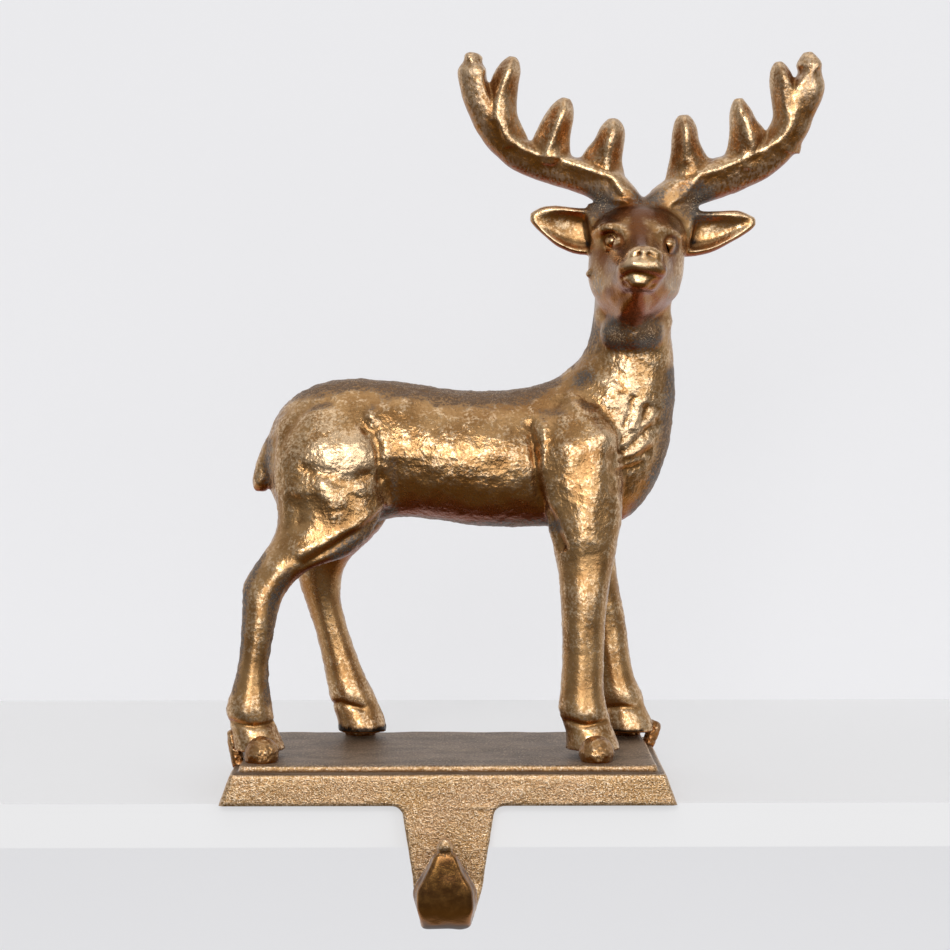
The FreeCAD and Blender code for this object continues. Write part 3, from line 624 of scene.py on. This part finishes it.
def lid_path(eye):
    """Closed path round an eye, in front view."""
    (x, z), half_width, half_height, _ = eye
    turns = [2.0 * math.pi * side / LID_SIDES for side in range(LID_SIDES + 1)]
    return [(x + half_width * math.cos(turn), z + half_height * math.sin(turn)) for turn in turns]


def spot_weight(points, spots):
    total = np.zeros(len(points))
    for place, reach, strength in spots:
        gap = np.linalg.norm(points - np.array(place), axis=1)
        total = np.maximum(total, strength * np.exp(-(gap / reach) ** 2))
    return total


def hollows(clay, passes, depth):
    """How deep each vertex lies below its wider surroundings, from 0 to 1."""
    normals = normals_of(clay.mesh)
    wide = clay.points.copy()
    for _ in range(passes):
        wide += (clay.around(wide) - wide) * HOLLOW_SHARE
    sunk = np.sum((wide - clay.points) * normals, axis=1)
    return sunk / depth


def strokes_weight(view, strokes):
    total = np.zeros(len(view))
    for path, width, strength in strokes:
        total = np.maximum(total, strength * stroke(view, path, width))
    return total


def ridge_weight(view, width):
    total = np.zeros(len(view))
    for path in ANTLER_RIDGES:
        total = np.maximum(total, stroke(view, path, width))
    return total


def on_antlers(points):
    return rise(points[:, 2], ANTLER_FOOT, ANTLER_FOOT + ANTLER_BLEND)


def bumpy(points):
    """How hammered the skin is: fully on the body, less on the antlers, little on head and legs."""
    body = rise(points[:, 2], *HAMMERED_FOOT) * rise(points[:, 2], *HAMMERED_TOP)
    body *= 1.0 - spot_weight(points, SMOOTH_SPOTS)
    hammered = BUMPY_ALL + BUMPY_BODY * body + BUMPY_ANTLER * on_antlers(points)
    return np.clip(hammered + spot_weight(points, PITTED_SPOTS), 0.0, BUMPY_MOST)


def face_region(points):
    """Weight of the head's front, which keeps its fine cast forms."""
    height = points[:, 2]
    return rise(height, *FACE_FOOT) * rise(height, *FACE_TOP) * rise(-points[:, 1], *FACE_FRONT)


def mouth_plugs():
    """Small balls that close the slit of the mouth."""
    (x_start, y_start, z), (x_end, y_end, _) = MOUTH_PLUGS
    across = np.arange(x_start, x_end, MOUTH_PLUG_STEP)
    inward = np.arange(y_end, y_start, MOUTH_PLUG_STEP)
    return [((x, y, z), MOUTH_PLUG_RADIUS) for x in across for y in inward]


def draw_cheeks(clay):
    """Narrows the head below the ears."""
    aside = clay.points[:, 0] - HEAD_MIDDLE_X
    weight = rise(np.abs(aside), *CHEEK_INNER) * rise(np.abs(aside), *CHEEK_OUTER)
    weight *= np.exp(-((clay.points[:, 2] - CHEEK_HEIGHT) / CHEEK_REACH) ** 2)
    clay.points[:, 0] -= CHEEK_DRAW * weight * np.sign(aside)


def sculpt_figure(clay):
    """Muscles, creases, face and casting marks of the stag."""
    clay.smooth(FIRST_PASSES)
    draw_cheeks(clay)
    fine_cast = face_region(clay.points)
    clay.fill_creases(CREASE_PASSES, CREASE_SHARE * (1.0 - CREASE_KEPT_ON_FACE * fine_cast))
    clay.smooth(FACE_PASSES, FACE_SHARE * fine_cast[:, None])
    toward_viewer = rise(-clay.normals()[:, 1], *MELT_FACING)
    view = clay.points[:, [0, 2]]
    melted = strokes_weight(view, FACE_MELTS) * fine_cast
    melted += strokes_weight(view, EAR_MELTS) * rise(clay.points[:, 1], *EAR_FRONT)
    melted += strokes_weight(view, FLANK_MELTS) * rise(-clay.points[:, 1], *FLANK_SIDE)
    melted = np.clip(MELT_GAIN * melted * toward_viewer, 0.0, 1.0)
    clay.smooth(MELT_PASSES, MELT_SHARE * melted[:, None])
    normals = clay.normals()
    points = clay.points
    view = points[:, [0, 2]]
    flank = rise(np.abs(normals[:, 1]), *FLANK_FACING) * rise(points[:, 2], *BODY_TOP)
    viewer_side = rise(-normals[:, 1], *VIEWER_FACING)
    neck = viewer_side * rise(points[:, 2], *NECK_FOOT) * rise(points[:, 2], *NECK_TOP)
    face = viewer_side * face_region(points)
    near = rise(-points[:, 1], *LEG_SIDE)
    far = rise(points[:, 1], *LEG_SIDE)
    head_side = viewer_side * rise(points[:, 2], *EARS_FOOT) * rise(points[:, 2], *EARS_TOP)
    for path, width, height in SOFT_FILLINGS:
        clay.push(height * head_side * stroke(view, path, width), normals)
    antler = viewer_side * rise(points[:, 2], ANTLER_FOOT - RIDGE_BLEND, ANTLER_FOOT)
    amount = RIDGE_HEIGHT * antler * ridge_weight(view, RIDGE_WIDTH)
    for forms, sign, mask in ((FLANK_FORMS, 1, flank), (FLANK_GROOVES, -1, flank),
                              (NECK_FORMS, 1, neck), (NECK_GROOVES, -1, neck),
                              (FACE_FORMS, 1, face), (FACE_GROOVES, -1, face),
                              (NEAR_HOOF_GROOVES, -1, near), (FAR_HOOF_GROOVES, -1, far)):
        for path, width, height in forms:
            amount += sign * height * mask * stroke(view, path, width)
    for eye in EYES:
        amount += EYE_BALL_HEIGHT * face * stroke(view, [eye[0]], EYE_BALL_WIDTH)
        amount -= LID_DEPTH * face * stroke(view, lid_path(eye), LID_WIDTH)
    clay.push(amount, normals)
    clay.smooth(*LAST_SMOOTHING)
    normals = clay.normals()
    parting = rise(np.abs(normals[:, 1]), *PARTING_FACING) * rise(points[:, 2], *PARTING_TOP)
    hammered = skin_noise(clay.points, HAMMER_LAYERS)
    rough = skin_noise(clay.points, ROUGH_LAYERS)
    roughness = PARTING_ROUGHNESS * parting + PITTED_ROUGHNESS * spot_weight(clay.points, PITTED_SPOTS)
    clay.push(hammered * bumpy(points) + roughness * rough, normals)
    clay.write()


def dress(piece, clay, coarse_passes, coarse_depth, extra_darkening=0.0):
    """Keeps how sunk or raised each vertex lies, in a wide and in a narrow view; the wide one also carries
    the extra darkening that is given.
    """
    store(piece.data, "hollow", np.clip(hollows(clay, coarse_passes, coarse_depth) + extra_darkening, -1.0, 1.0))
    store(piece.data, "pit", np.clip(hollows(clay, *PIT), -0.6, 1.0))


def figure():
    eye_plugs = [(plug, EYE_PLUG_RADIUS) for _, _, _, plug in EYES]
    lumps = [CHEEK_NUB] + JAW_LUMPS + eye_plugs + mouth_plugs()
    piece = remeshed("stag", "stag_figure", FIGURE_VOXEL, lumps)
    sculpt_figure(Clay(piece.data))
    thinned(piece, FIGURE_TRIANGLES)
    clay = Clay(piece.data)
    points = clay.points
    view = points[:, [0, 2]]
    # Painted shadow under the far soles and painted shade at the shade spots, carried in the hollow weight
    soles = strokes_weight(view, FAR_SOLE_SHADOW) * rise(points[:, 1], *FLANK_SIDE)
    dress(piece, clay, *FIGURE_HOLLOW, np.maximum(spot_weight(points, SHADE_SPOTS), soles))
    normals = normals_of(piece.data)
    low_part = rise(points[:, 2], *BODY_TOP)
    top = rise(normals[:, 2], *BACK_FACING) * low_part * rise(points[:, 2], *BACK_FOOT)
    edge = EDGE_WASH * rise(np.abs(normals[:, 1]), *EDGE_FACING) * low_part
    washed = np.maximum(spot_weight(points, WASH_SPOTS), strokes_weight(view, WASH_STROKES))
    store(piece.data, "wash", np.maximum(washed, np.maximum(top, edge)))
    store(piece.data, "bumpy", bumpy(points))
    antler = on_antlers(points)
    # The antler ridges stay bare gold, worn and a painted highlight along them
    worn_and_highlit = ridge_weight(view, RIDGE_WORN_AND_HIGHLIT_WIDTH)
    antler_haze = ANTLER_HAZE * antler * (1.0 - worn_and_highlit)
    store(piece.data, "haze", np.maximum(spot_weight(points, HAZE_SPOTS), antler_haze))
    # Painted shade on the antlers' flanks beside the ridges
    beside = ridge_weight(view, SHADE_BESIDE_RIDGE) * (1.0 - worn_and_highlit)
    lids = [(lid_path(eye), LID_WIDTH, LID_SHADE) for eye in EYES]
    face_stain_and_shade = strokes_weight(view, FACE_STAINS_AND_SHADE + lids) * rise(-points[:, 1], *LEG_SIDE)
    store(piece.data, "stain_and_shade", np.maximum(face_stain_and_shade, ANTLER_FLANK_SHADE * antler * beside))
    store(piece.data, "worn_and_highlit", np.maximum(spot_weight(points, WORN_AND_HIGHLIT_SPOTS), ANTLER_POLISH * antler))
    piece.data.materials.clear()
    piece.data.materials.append(figure_gilt("stag_gilt"))
    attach(piece, "root")
    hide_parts("stag_figure")
    return piece


def sculpt_base(clay):
    """Sand-cast skin of the plinth and the hook."""
    clay.smooth(FIRST_PASSES)
    points = clay.points
    height = points[:, 2] + SOLE_HEIGHT
    normals = clay.normals()
    upright = rise(normals[:, 2], *UPRIGHT_SLOPE)
    grit = skin_noise(points, GRIT_LAYERS)
    swell = skin_noise(points, SWELL_LAYERS)
    front = -points[:, 1] - FIGURE_MIDDLE_Y
    hook_front = rise(-height, *HOOK_SKIN_DOWN) * rise(front, *HOOK_SKIN_FRONT)
    resting = rise(height, *RESTING_TOP) * rise(height, *RESTING_FOOT)
    gritty = grit * (GRIT_ON_TOP + GRIT_UPRIGHT * upright) * (1.0 - GRIT_LOST_ON_HOOK * hook_front)
    amount = (gritty + swell) * (1.0 - resting)
    amount += hook_front * skin_noise(points, HOOK_LAYERS)
    tip = rise(front, *HOOK_TIP)
    amount -= HOOK_GROOVE_DEPTH * tip * np.exp(-((height - HOOK_GROOVE_HEIGHT) / HOOK_GROOVE_WIDTH) ** 2)
    clay.push(amount, normals)
    clay.write()


def base():
    piece = remeshed("plinth_and_hook", "hook_base", BASE_VOXEL)
    sculpt_base(Clay(piece.data))
    thinned(piece, BASE_TRIANGLES)
    clay = Clay(piece.data)
    height = clay.points[:, 2] + SOLE_HEIGHT
    dress(piece, clay, *BASE_HOLLOW, STEP_DARKENING * rise(height, *STEP_DARKENING_HEIGHT))
    front = -clay.points[:, 1] - FIGURE_MIDDLE_Y
    store(piece.data, "hook", rise(-height, *HOOK_PAINT_DOWN) * rise(front, *HOOK_PAINT_FRONT))
    piece.data.materials.clear()
    piece.data.materials.append(base_gilt())
    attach(piece, "root")
    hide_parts("hook_base")
    return piece


def welds():
    piece = remeshed("weld_beads", "hoof_welds", WELD_VOXEL, FAR_DRIP_LUMPS)
    clay = Clay(piece.data)
    clay.smooth(FIRST_PASSES)
    clay.push(skin_noise(clay.points, WELD_LAYERS, WELD_SWELL))
    clay.write()
    piece.data.shade_smooth()
    dress(piece, clay, *WELD_HOLLOW)
    for layer, amount in WELD_PAINT.items():
        store(piece.data, layer, np.full(len(clay.points), amount))
    piece.data.materials.clear()
    piece.data.materials.append(figure_gilt("weld_gilt"))
    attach(piece, "root")
    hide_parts("hoof_welds")
    return piece


def new_tree(name):
    material = bpy.data.materials.new(name)
    material.use_nodes = True
    material.node_tree.nodes.clear()
    return material, material.node_tree


def node(tree, kind, inputs=None, **settings):
    """Adds a node, sets it up and joins it to what is given for its inputs."""
    made = tree.nodes.new(kind)
    for key, value in settings.items():
        setattr(made, key, value)
    for key, value in (inputs or {}).items():
        if isinstance(value, bpy.types.NodeSocket):
            tree.links.new(value, made.inputs[key])
        else:
            made.inputs[key].default_value = value
    return made


def mix(tree, factor, first, second):
    made = node(tree, "ShaderNodeMix", {0: factor, 6: first, 7: second}, data_type="RGBA")
    return made.outputs[2]


def math_node(tree, operation, *values):
    made = node(tree, "ShaderNodeMath", dict(enumerate(values)), operation=operation, use_clamp=False)
    return made.outputs[0]


def span(tree, value, low, high, to_low=0.0, to_high=1.0):
    """Maps a range of values smoothly onto another."""
    made = node(tree, "ShaderNodeMapRange", {
        "Value": value, "From Min": low, "From Max": high, "To Min": to_low, "To Max": to_high},
        interpolation_type="SMOOTHSTEP")
    return made.outputs["Result"]


def noise(tree, place, scale, detail=2.0, roughness=0.5):
    made = node(tree, "ShaderNodeTexNoise", {
        "Vector": place, "Scale": scale, "Detail": detail, "Roughness": roughness})
    return made.outputs["Fac"]


def number(tree, name):
    return node(tree, "ShaderNodeAttribute", attribute_name=name).outputs["Fac"]


def object_millimetres(tree):
    place = node(tree, "ShaderNodeTexCoord").outputs["Object"]
    made = node(tree, "ShaderNodeVectorMath", {0: place, "Scale": 1.0 / MM}, operation="SCALE")
    return made.outputs[0]


# Colours of the gold, of its stains and of the dirt and wash on it, and of the painted shade and painted
# glints on it
GOLD_LIGHT = (0.84, 0.61, 0.38, 1.0)
GLINT_FLECK = (0.95, 0.80, 0.62, 1.0)
GOLD = (0.46, 0.265, 0.110, 1.0)
GOLD_BROWN = (0.28, 0.135, 0.042, 1.0)
STAIN_AND_SHADE_BROWN = (0.165, 0.050, 0.006, 1.0)
UNDERSIDE_SHADE_ORANGE = (0.36, 0.130, 0.014, 1.0)
UNDERSIDE_SHADE_RED = (0.24, 0.045, 0.006, 1.0)
UMBER = (0.080, 0.032, 0.009, 1.0)
SHADE_BLACK = (0.012, 0.008, 0.006, 1.0)
COPPER = (0.50, 0.295, 0.145, 1.0)
GREY_WASH = (0.110, 0.090, 0.076, 1.0)
BROWN_WASH = (0.150, 0.083, 0.040, 1.0)
PALE_HAZE = (0.42, 0.32, 0.235, 1.0)
HOOK_BROWN = (0.15, 0.064, 0.018, 1.0)
HOOK_GOLD = (0.44, 0.215, 0.060, 1.0)
TOP_DARK = (0.105, 0.064, 0.035, 1.0)
TOP_LIGHT = (0.215, 0.152, 0.100, 1.0)
# Thin clear lacquer over all of it
COAT = 0.15
COAT_ROUGHNESS = 0.2


def finish_gilt(tree, colour, metal, roughness, bump):
    shader = node(tree, "ShaderNodeBsdfPrincipled", {
        "Base Color": colour, "Metallic": metal, "Roughness": roughness, "Normal": bump,
        "Coat Weight": COAT, "Coat Roughness": COAT_ROUGHNESS, "Coat Normal": bump})
    node(tree, "ShaderNodeOutputMaterial", {"Surface": shader.outputs[0]})


def layered_bump(tree, layers):
    """Bumps on each other, each with its height field and its depth in millimetres."""
    normal = None
    for height, depth in layers:
        inputs = {"Height": height, "Distance": depth * MM, "Strength": 1.0}
        if normal is not None:
            inputs["Normal"] = normal
        normal = node(tree, "ShaderNodeBump", inputs).outputs[0]
    return normal


def upward(tree):
    """How far the surface faces up, from -1 to 1."""
    normal = node(tree, "ShaderNodeNewGeometry").outputs["Normal"]
    return node(tree, "ShaderNodeSeparateXYZ", {0: normal}).outputs[2]


def figure_gilt(name):
    """Gold paint, bright where it is worn and where highlights are painted, brown in the dents and grey
    along the parting, with painted shade in the hollows, on the undersides and in the face's creases.
    """
    material, tree = new_tree(name)
    place = object_millimetres(tree)
    cloudy = noise(tree, place, 0.09, 3.0)
    hammer = noise(tree, place, 0.36, 2.0, 0.5)
    grain = noise(tree, place, 0.95, 2.0, 0.55)
    dust = noise(tree, place, 2.6, 2.0, 0.6)
    up = upward(tree)

    colour = mix(tree, span(tree, cloudy, 0.3, 0.65, 0.15, 1.0), GOLD_BROWN, GOLD)
    raised = math_node(tree, "ADD", math_node(tree, "MULTIPLY", number(tree, "pit"), -0.5),
                       span(tree, grain, 0.35, 0.65, -0.2, 0.2))
    colour = mix(tree, span(tree, raised, -0.05, -0.6, 0.0, 0.7), colour, GOLD_BROWN)
    # Lighter gold on raised and worn places and on the painted highlights
    bright = math_node(tree, "ADD", raised, number(tree, "worn_and_highlit"))
    colour = mix(tree, span(tree, bright, 0.05, 0.6, 0.0, 0.8), colour, GOLD_LIGHT)
    # Brown stain, and painted shade on the face and on the antlers' flanks
    stain_and_shade_amount = math_node(tree, "ADD", number(tree, "stain_and_shade"), span(tree, cloudy, 0.35, 0.65, 0.12, -0.12))
    colour = mix(tree, span(tree, stain_and_shade_amount, 0.1, 0.9, 0.0, 0.98), colour, STAIN_AND_SHADE_BROWN)
    # Dark wash of the finish in the hollows, deepened into painted shade in creases and gaps
    deep = math_node(tree, "ADD", number(tree, "hollow"), span(tree, hammer, 0.3, 0.7, 0.1, -0.1))
    colour = mix(tree, span(tree, deep, 0.15, 1.0, 0.0, 0.85), colour, UMBER)
    # Near black where the hollow weight is highest, in deep creases, the hoof gap and under the far soles:
    # painted shade
    colour = mix(tree, span(tree, deep, 0.75, 1.0, 0.0, 0.9), colour, SHADE_BLACK)
    # Painted shade on the faces that look down: orange brown, then red brown where they face straight down
    colour = mix(tree, span(tree, up, -0.10, -0.45, 0.0, 0.85), colour, UNDERSIDE_SHADE_ORANGE)
    colour = mix(tree, span(tree, up, -0.45, -0.80, 0.0, 0.9), colour, UNDERSIDE_SHADE_RED)
    speckle = math_node(tree, "ADD", span(tree, grain, 0.35, 0.65, 0.6, 1.4),
                        span(tree, dust, 0.35, 0.65, -0.3, 0.3))
    washed = span(tree, math_node(tree, "MULTIPLY", number(tree, "wash"), speckle), 0.15, 0.75)
    wash = mix(tree, span(tree, cloudy, 0.4, 0.6), GREY_WASH, BROWN_WASH)
    wash = mix(tree, span(tree, up, 0.5, 0.9), wash, BROWN_WASH)
    colour = mix(tree, washed, colour, wash)
    flecks = math_node(tree, "MULTIPLY", span(tree, number(tree, "wash"), 0.8, 1.1, 0.3, 1.0),
                       span(tree, dust, 0.57, 0.66))
    flecks = math_node(tree, "MULTIPLY", washed, flecks)
    colour = mix(tree, flecks, colour, GOLD_LIGHT)
    hazed = math_node(tree, "MULTIPLY", number(tree, "haze"), span(tree, stain_and_shade_amount, 0.15, 0.45, 1.0, 0.0))
    streaks = node(tree, "ShaderNodeVectorMath", {0: place, 1: (1.0, 1.0, 0.35)}, operation="MULTIPLY")
    streaky = noise(tree, streaks.outputs[0], 1.1, 3.0, 0.6)
    hazed = math_node(tree, "MULTIPLY", hazed, span(tree, streaky, 0.43, 0.57, 0.0, 1.2))
    colour = mix(tree, hazed, colour, PALE_HAZE)

    dull = math_node(tree, "MAXIMUM", washed, hazed)
    metal = span(tree, dull, 0.0, 1.0, 0.97, 0.75)
    roughness = math_node(tree, "ADD", span(tree, dull, 0.0, 1.0, 0.30, 0.55),
                          span(tree, grain, 0.3, 0.7, 0.05, -0.04))
    rough_skin = number(tree, "bumpy")
    bump = layered_bump(tree, [(math_node(tree, "MULTIPLY", hammer, rough_skin), 0.55),
                               (math_node(tree, "MULTIPLY", grain, rough_skin), 0.15), (dust, 0.035)])
    finish_gilt(tree, colour, metal, roughness, bump)
    return material


def base_gilt():
    """Coarse coppery gold with painted glints on the upright faces, brown-grey on the flat top, dark on the
    hook, with painted shade under the hook and on the undersides.
    """
    material, tree = new_tree("base_gilt")
    place = object_millimetres(tree)
    cloudy = noise(tree, place, 0.07, 3.0)
    grit = noise(tree, place, 1.2, 3.0, 0.65)
    sparkle = noise(tree, place, 2.0, 2.0, 0.6)
    up = upward(tree)

    colour = mix(tree, span(tree, cloudy, 0.38, 0.62), GOLD, COPPER)
    raised = math_node(tree, "ADD", math_node(tree, "MULTIPLY", number(tree, "pit"), -0.25),
                       span(tree, grit, 0.35, 0.65, -0.4, 0.4))
    colour = mix(tree, span(tree, raised, 0.05, 0.5, 0.0, 0.8), colour, GOLD_LIGHT)
    colour = mix(tree, span(tree, raised, -0.1, -0.5, 0.0, 0.8), colour, GOLD_BROWN)
    # Pale flecks on the plinth's skin: painted glints
    colour = mix(tree, span(tree, sparkle, 0.58, 0.66, 0.0, 0.9), colour, GLINT_FLECK)
    colour = mix(tree, span(tree, sparkle, 0.40, 0.32, 0.0, 0.4), colour, UMBER)
    hook = number(tree, "hook")
    hook_smooth = span(tree, math_node(tree, "ADD", hook, span(tree, grit, 0.3, 0.7, -0.25, 0.25)), 0.3, 0.8)
    patches = span(tree, noise(tree, place, 0.30, 4.0, 0.6), 0.35, 0.8)
    colour = mix(tree, hook_smooth, colour, mix(tree, patches, HOOK_BROWN, HOOK_GOLD))
    # Painted shade under the hook's bend
    hook_under = math_node(tree, "MULTIPLY", hook_smooth, span(tree, up, 0.0, -0.5, 0.0, 0.8))
    colour = mix(tree, hook_under, colour, UNDERSIDE_SHADE_ORANGE)
    # Dark wash in the hollows, also painted shade in creases; the upper step is darkened through the same
    # weight
    colour = mix(tree, span(tree, number(tree, "hollow"), 0.15, 0.8, 0.0, 0.9), colour, UMBER)
    worn_edge = span(tree, number(tree, "hollow"), -0.15, -0.5)
    flat_top = span(tree, up, 0.6, 0.9)
    flat_top = math_node(tree, "MULTIPLY", flat_top, span(tree, raised, 0.1, 0.5, 0.95, 0.5))
    flat_top = math_node(tree, "MULTIPLY", flat_top, span(tree, worn_edge, 0.0, 1.0, 1.0, 0.3))
    streaks = node(tree, "ShaderNodeVectorMath", {0: place, 1: (0.55, 1.0, 1.0)}, operation="MULTIPLY")
    streaky = noise(tree, streaks.outputs[0], 0.09, 3.0, 0.55)
    top = mix(tree, span(tree, streaky, 0.3, 0.7), TOP_DARK, TOP_LIGHT)
    top = mix(tree, span(tree, grit, 0.60, 0.72, 0.0, 0.6), top, UMBER)
    colour = mix(tree, flat_top, colour, top)
    # Painted shade on the faces that look straight down
    under = span(tree, up, -0.6, -0.9)
    colour = mix(tree, under, colour, UMBER)
    dull = math_node(tree, "MAXIMUM", flat_top, under)
    metal = span(tree, dull, 0.0, 1.0, 0.92, 0.25)
    roughness = math_node(tree, "ADD", span(tree, dull, 0.0, 1.0, 0.30, 0.6),
                          span(tree, hook_smooth, 0.0, 1.0, 0.0, -0.06))
    skin = span(tree, hook_smooth, 0.0, 1.0, 1.0, 0.2)
    bump = layered_bump(tree, [(math_node(tree, "MULTIPLY", grit, skin), 0.30),
                               (math_node(tree, "MULTIPLY", sparkle, skin), 0.17)])
    finish_gilt(tree, colour, metal, roughness, bump)
    return material


def stage_paint(name, colour, glow):
    """Pale paint that is seen from its front only, so that it hides nothing from behind.

    A share of it is plain white to the camera and in reflections, and the rest takes
    the light and the object's shadow.
    """
    material, tree = new_tree(name)
    paint = node(tree, "ShaderNodeBsdfPrincipled", {"Base Color": colour, "Roughness": 0.6})
    white = node(tree, "ShaderNodeEmission", {"Color": colour, "Strength": 1.0})
    ray = node(tree, "ShaderNodeLightPath").outputs
    seen = math_node(tree, "MAXIMUM", ray["Is Camera Ray"], ray["Is Glossy Ray"])
    seen = math_node(tree, "MAXIMUM", seen, ray["Is Transmission Ray"])
    share = math_node(tree, "MULTIPLY", seen, glow)
    lit = node(tree, "ShaderNodeMixShader", {0: share, 1: paint.outputs[0], 2: white.outputs[0]})
    clear = node(tree, "ShaderNodeBsdfTransparent")
    behind = node(tree, "ShaderNodeNewGeometry").outputs["Backfacing"]
    shown = node(tree, "ShaderNodeMixShader", {0: behind, 1: lit.outputs[0], 2: clear.outputs[0]})
    node(tree, "ShaderNodeOutputMaterial", {"Surface": shown.outputs[0]})
    return material


def stage_panel(name, corners, material):
    mesh = bpy.data.meshes.new(name)
    mesh.from_pydata([Vector(corner) for corner in corners], [], [list(range(len(corners)))])
    mesh.materials.append(material)
    panel = bpy.data.objects.new(name, mesh)
    bpy.context.scene.collection.objects.link(panel)


def stage():
    """Pale board under the holder and a pale wall behind it."""
    top_paint = stage_paint("board_top_paint", *BOARD_TOP_PAINT)
    paint = stage_paint("board_paint", *BOARD_PAINT)
    wall = stage_paint("wall_paint", *WALL_PAINT)
    left, right = -STAGE_HALF_WIDTH, STAGE_HALF_WIDTH
    low = -BOARD_THICKNESS
    stage_panel("board_top", [(left, 0, 0), (right, 0, 0), (right, BOARD_DEPTH, 0), (left, BOARD_DEPTH, 0)],
                top_paint)
    stage_panel("board_front", [(left, 0, low), (right, 0, low), (right, 0, 0), (left, 0, 0)], paint)
    stage_panel("board_under", [(left, BOARD_DEPTH, low), (right, BOARD_DEPTH, low),
                                (right, 0, low), (left, 0, low)], paint)
    stage_panel("wall", [(left, BOARD_DEPTH, -STAGE_HEIGHT), (right, BOARD_DEPTH, -STAGE_HEIGHT),
                         (right, BOARD_DEPTH, STAGE_HEIGHT), (left, BOARD_DEPTH, STAGE_HEIGHT)], wall)


def lamp(name, place, width, height, power):
    light = bpy.data.lights.new(name, "AREA")
    light.shape = "RECTANGLE"
    light.size = width
    light.size_y = height
    light.energy = power
    holder = bpy.data.objects.new(name, light)
    holder.location = place
    aim = Vector(LAMP_TARGET) - Vector(place)
    holder.rotation_mode = "QUATERNION"
    holder.rotation_quaternion = aim.to_track_quat("-Z", "Y")
    bpy.context.scene.collection.objects.link(holder)


def world():
    """Soft room light, dimmer below the horizon than above it."""
    room = bpy.data.worlds.new("room")
    room.use_nodes = True
    tree = room.node_tree
    tree.nodes.clear()
    direction = node(tree, "ShaderNodeTexCoord").outputs["Generated"]
    height = node(tree, "ShaderNodeSeparateXYZ", {0: direction}).outputs[2]
    below = span(tree, height, -0.5, -0.05, LOW_LIGHT, HORIZON_LIGHT)
    above = span(tree, height, 0.0, 0.6, 0.0, HIGH_LIGHT)
    strength = math_node(tree, "ADD", below, above)
    light = node(tree, "ShaderNodeBackground", {"Color": ROOM_COLOUR, "Strength": strength})
    node(tree, "ShaderNodeOutputWorld", {"Surface": light.outputs[0]})
    bpy.context.scene.world = room


def camera():
    data = bpy.data.cameras.new("camera")
    data.sensor_width = SENSOR_WIDTH
    data.lens = FOCAL_PIXELS / PICTURE_PIXELS * SENSOR_WIDTH
    right = math.atan(AIM_RIGHT_PIXELS / FOCAL_PIXELS)
    down = math.atan(AIM_DOWN_PIXELS / FOCAL_PIXELS)
    aim = Vector((math.sin(right) * math.cos(down), math.cos(right) * math.cos(down), -math.sin(down)))
    holder = bpy.data.objects.new("camera", data)
    holder.location = CAMERA_PLACE
    holder.rotation_mode = "QUATERNION"
    holder.rotation_quaternion = aim.to_track_quat("-Z", "Y")
    bpy.context.scene.collection.objects.link(holder)
    bpy.context.scene.camera = holder


figure()
base()
welds()
stage()
world()
for settings in LAMPS:
    lamp(*settings)
camera()
bpy.context.scene.view_settings.view_transform = "Standard"
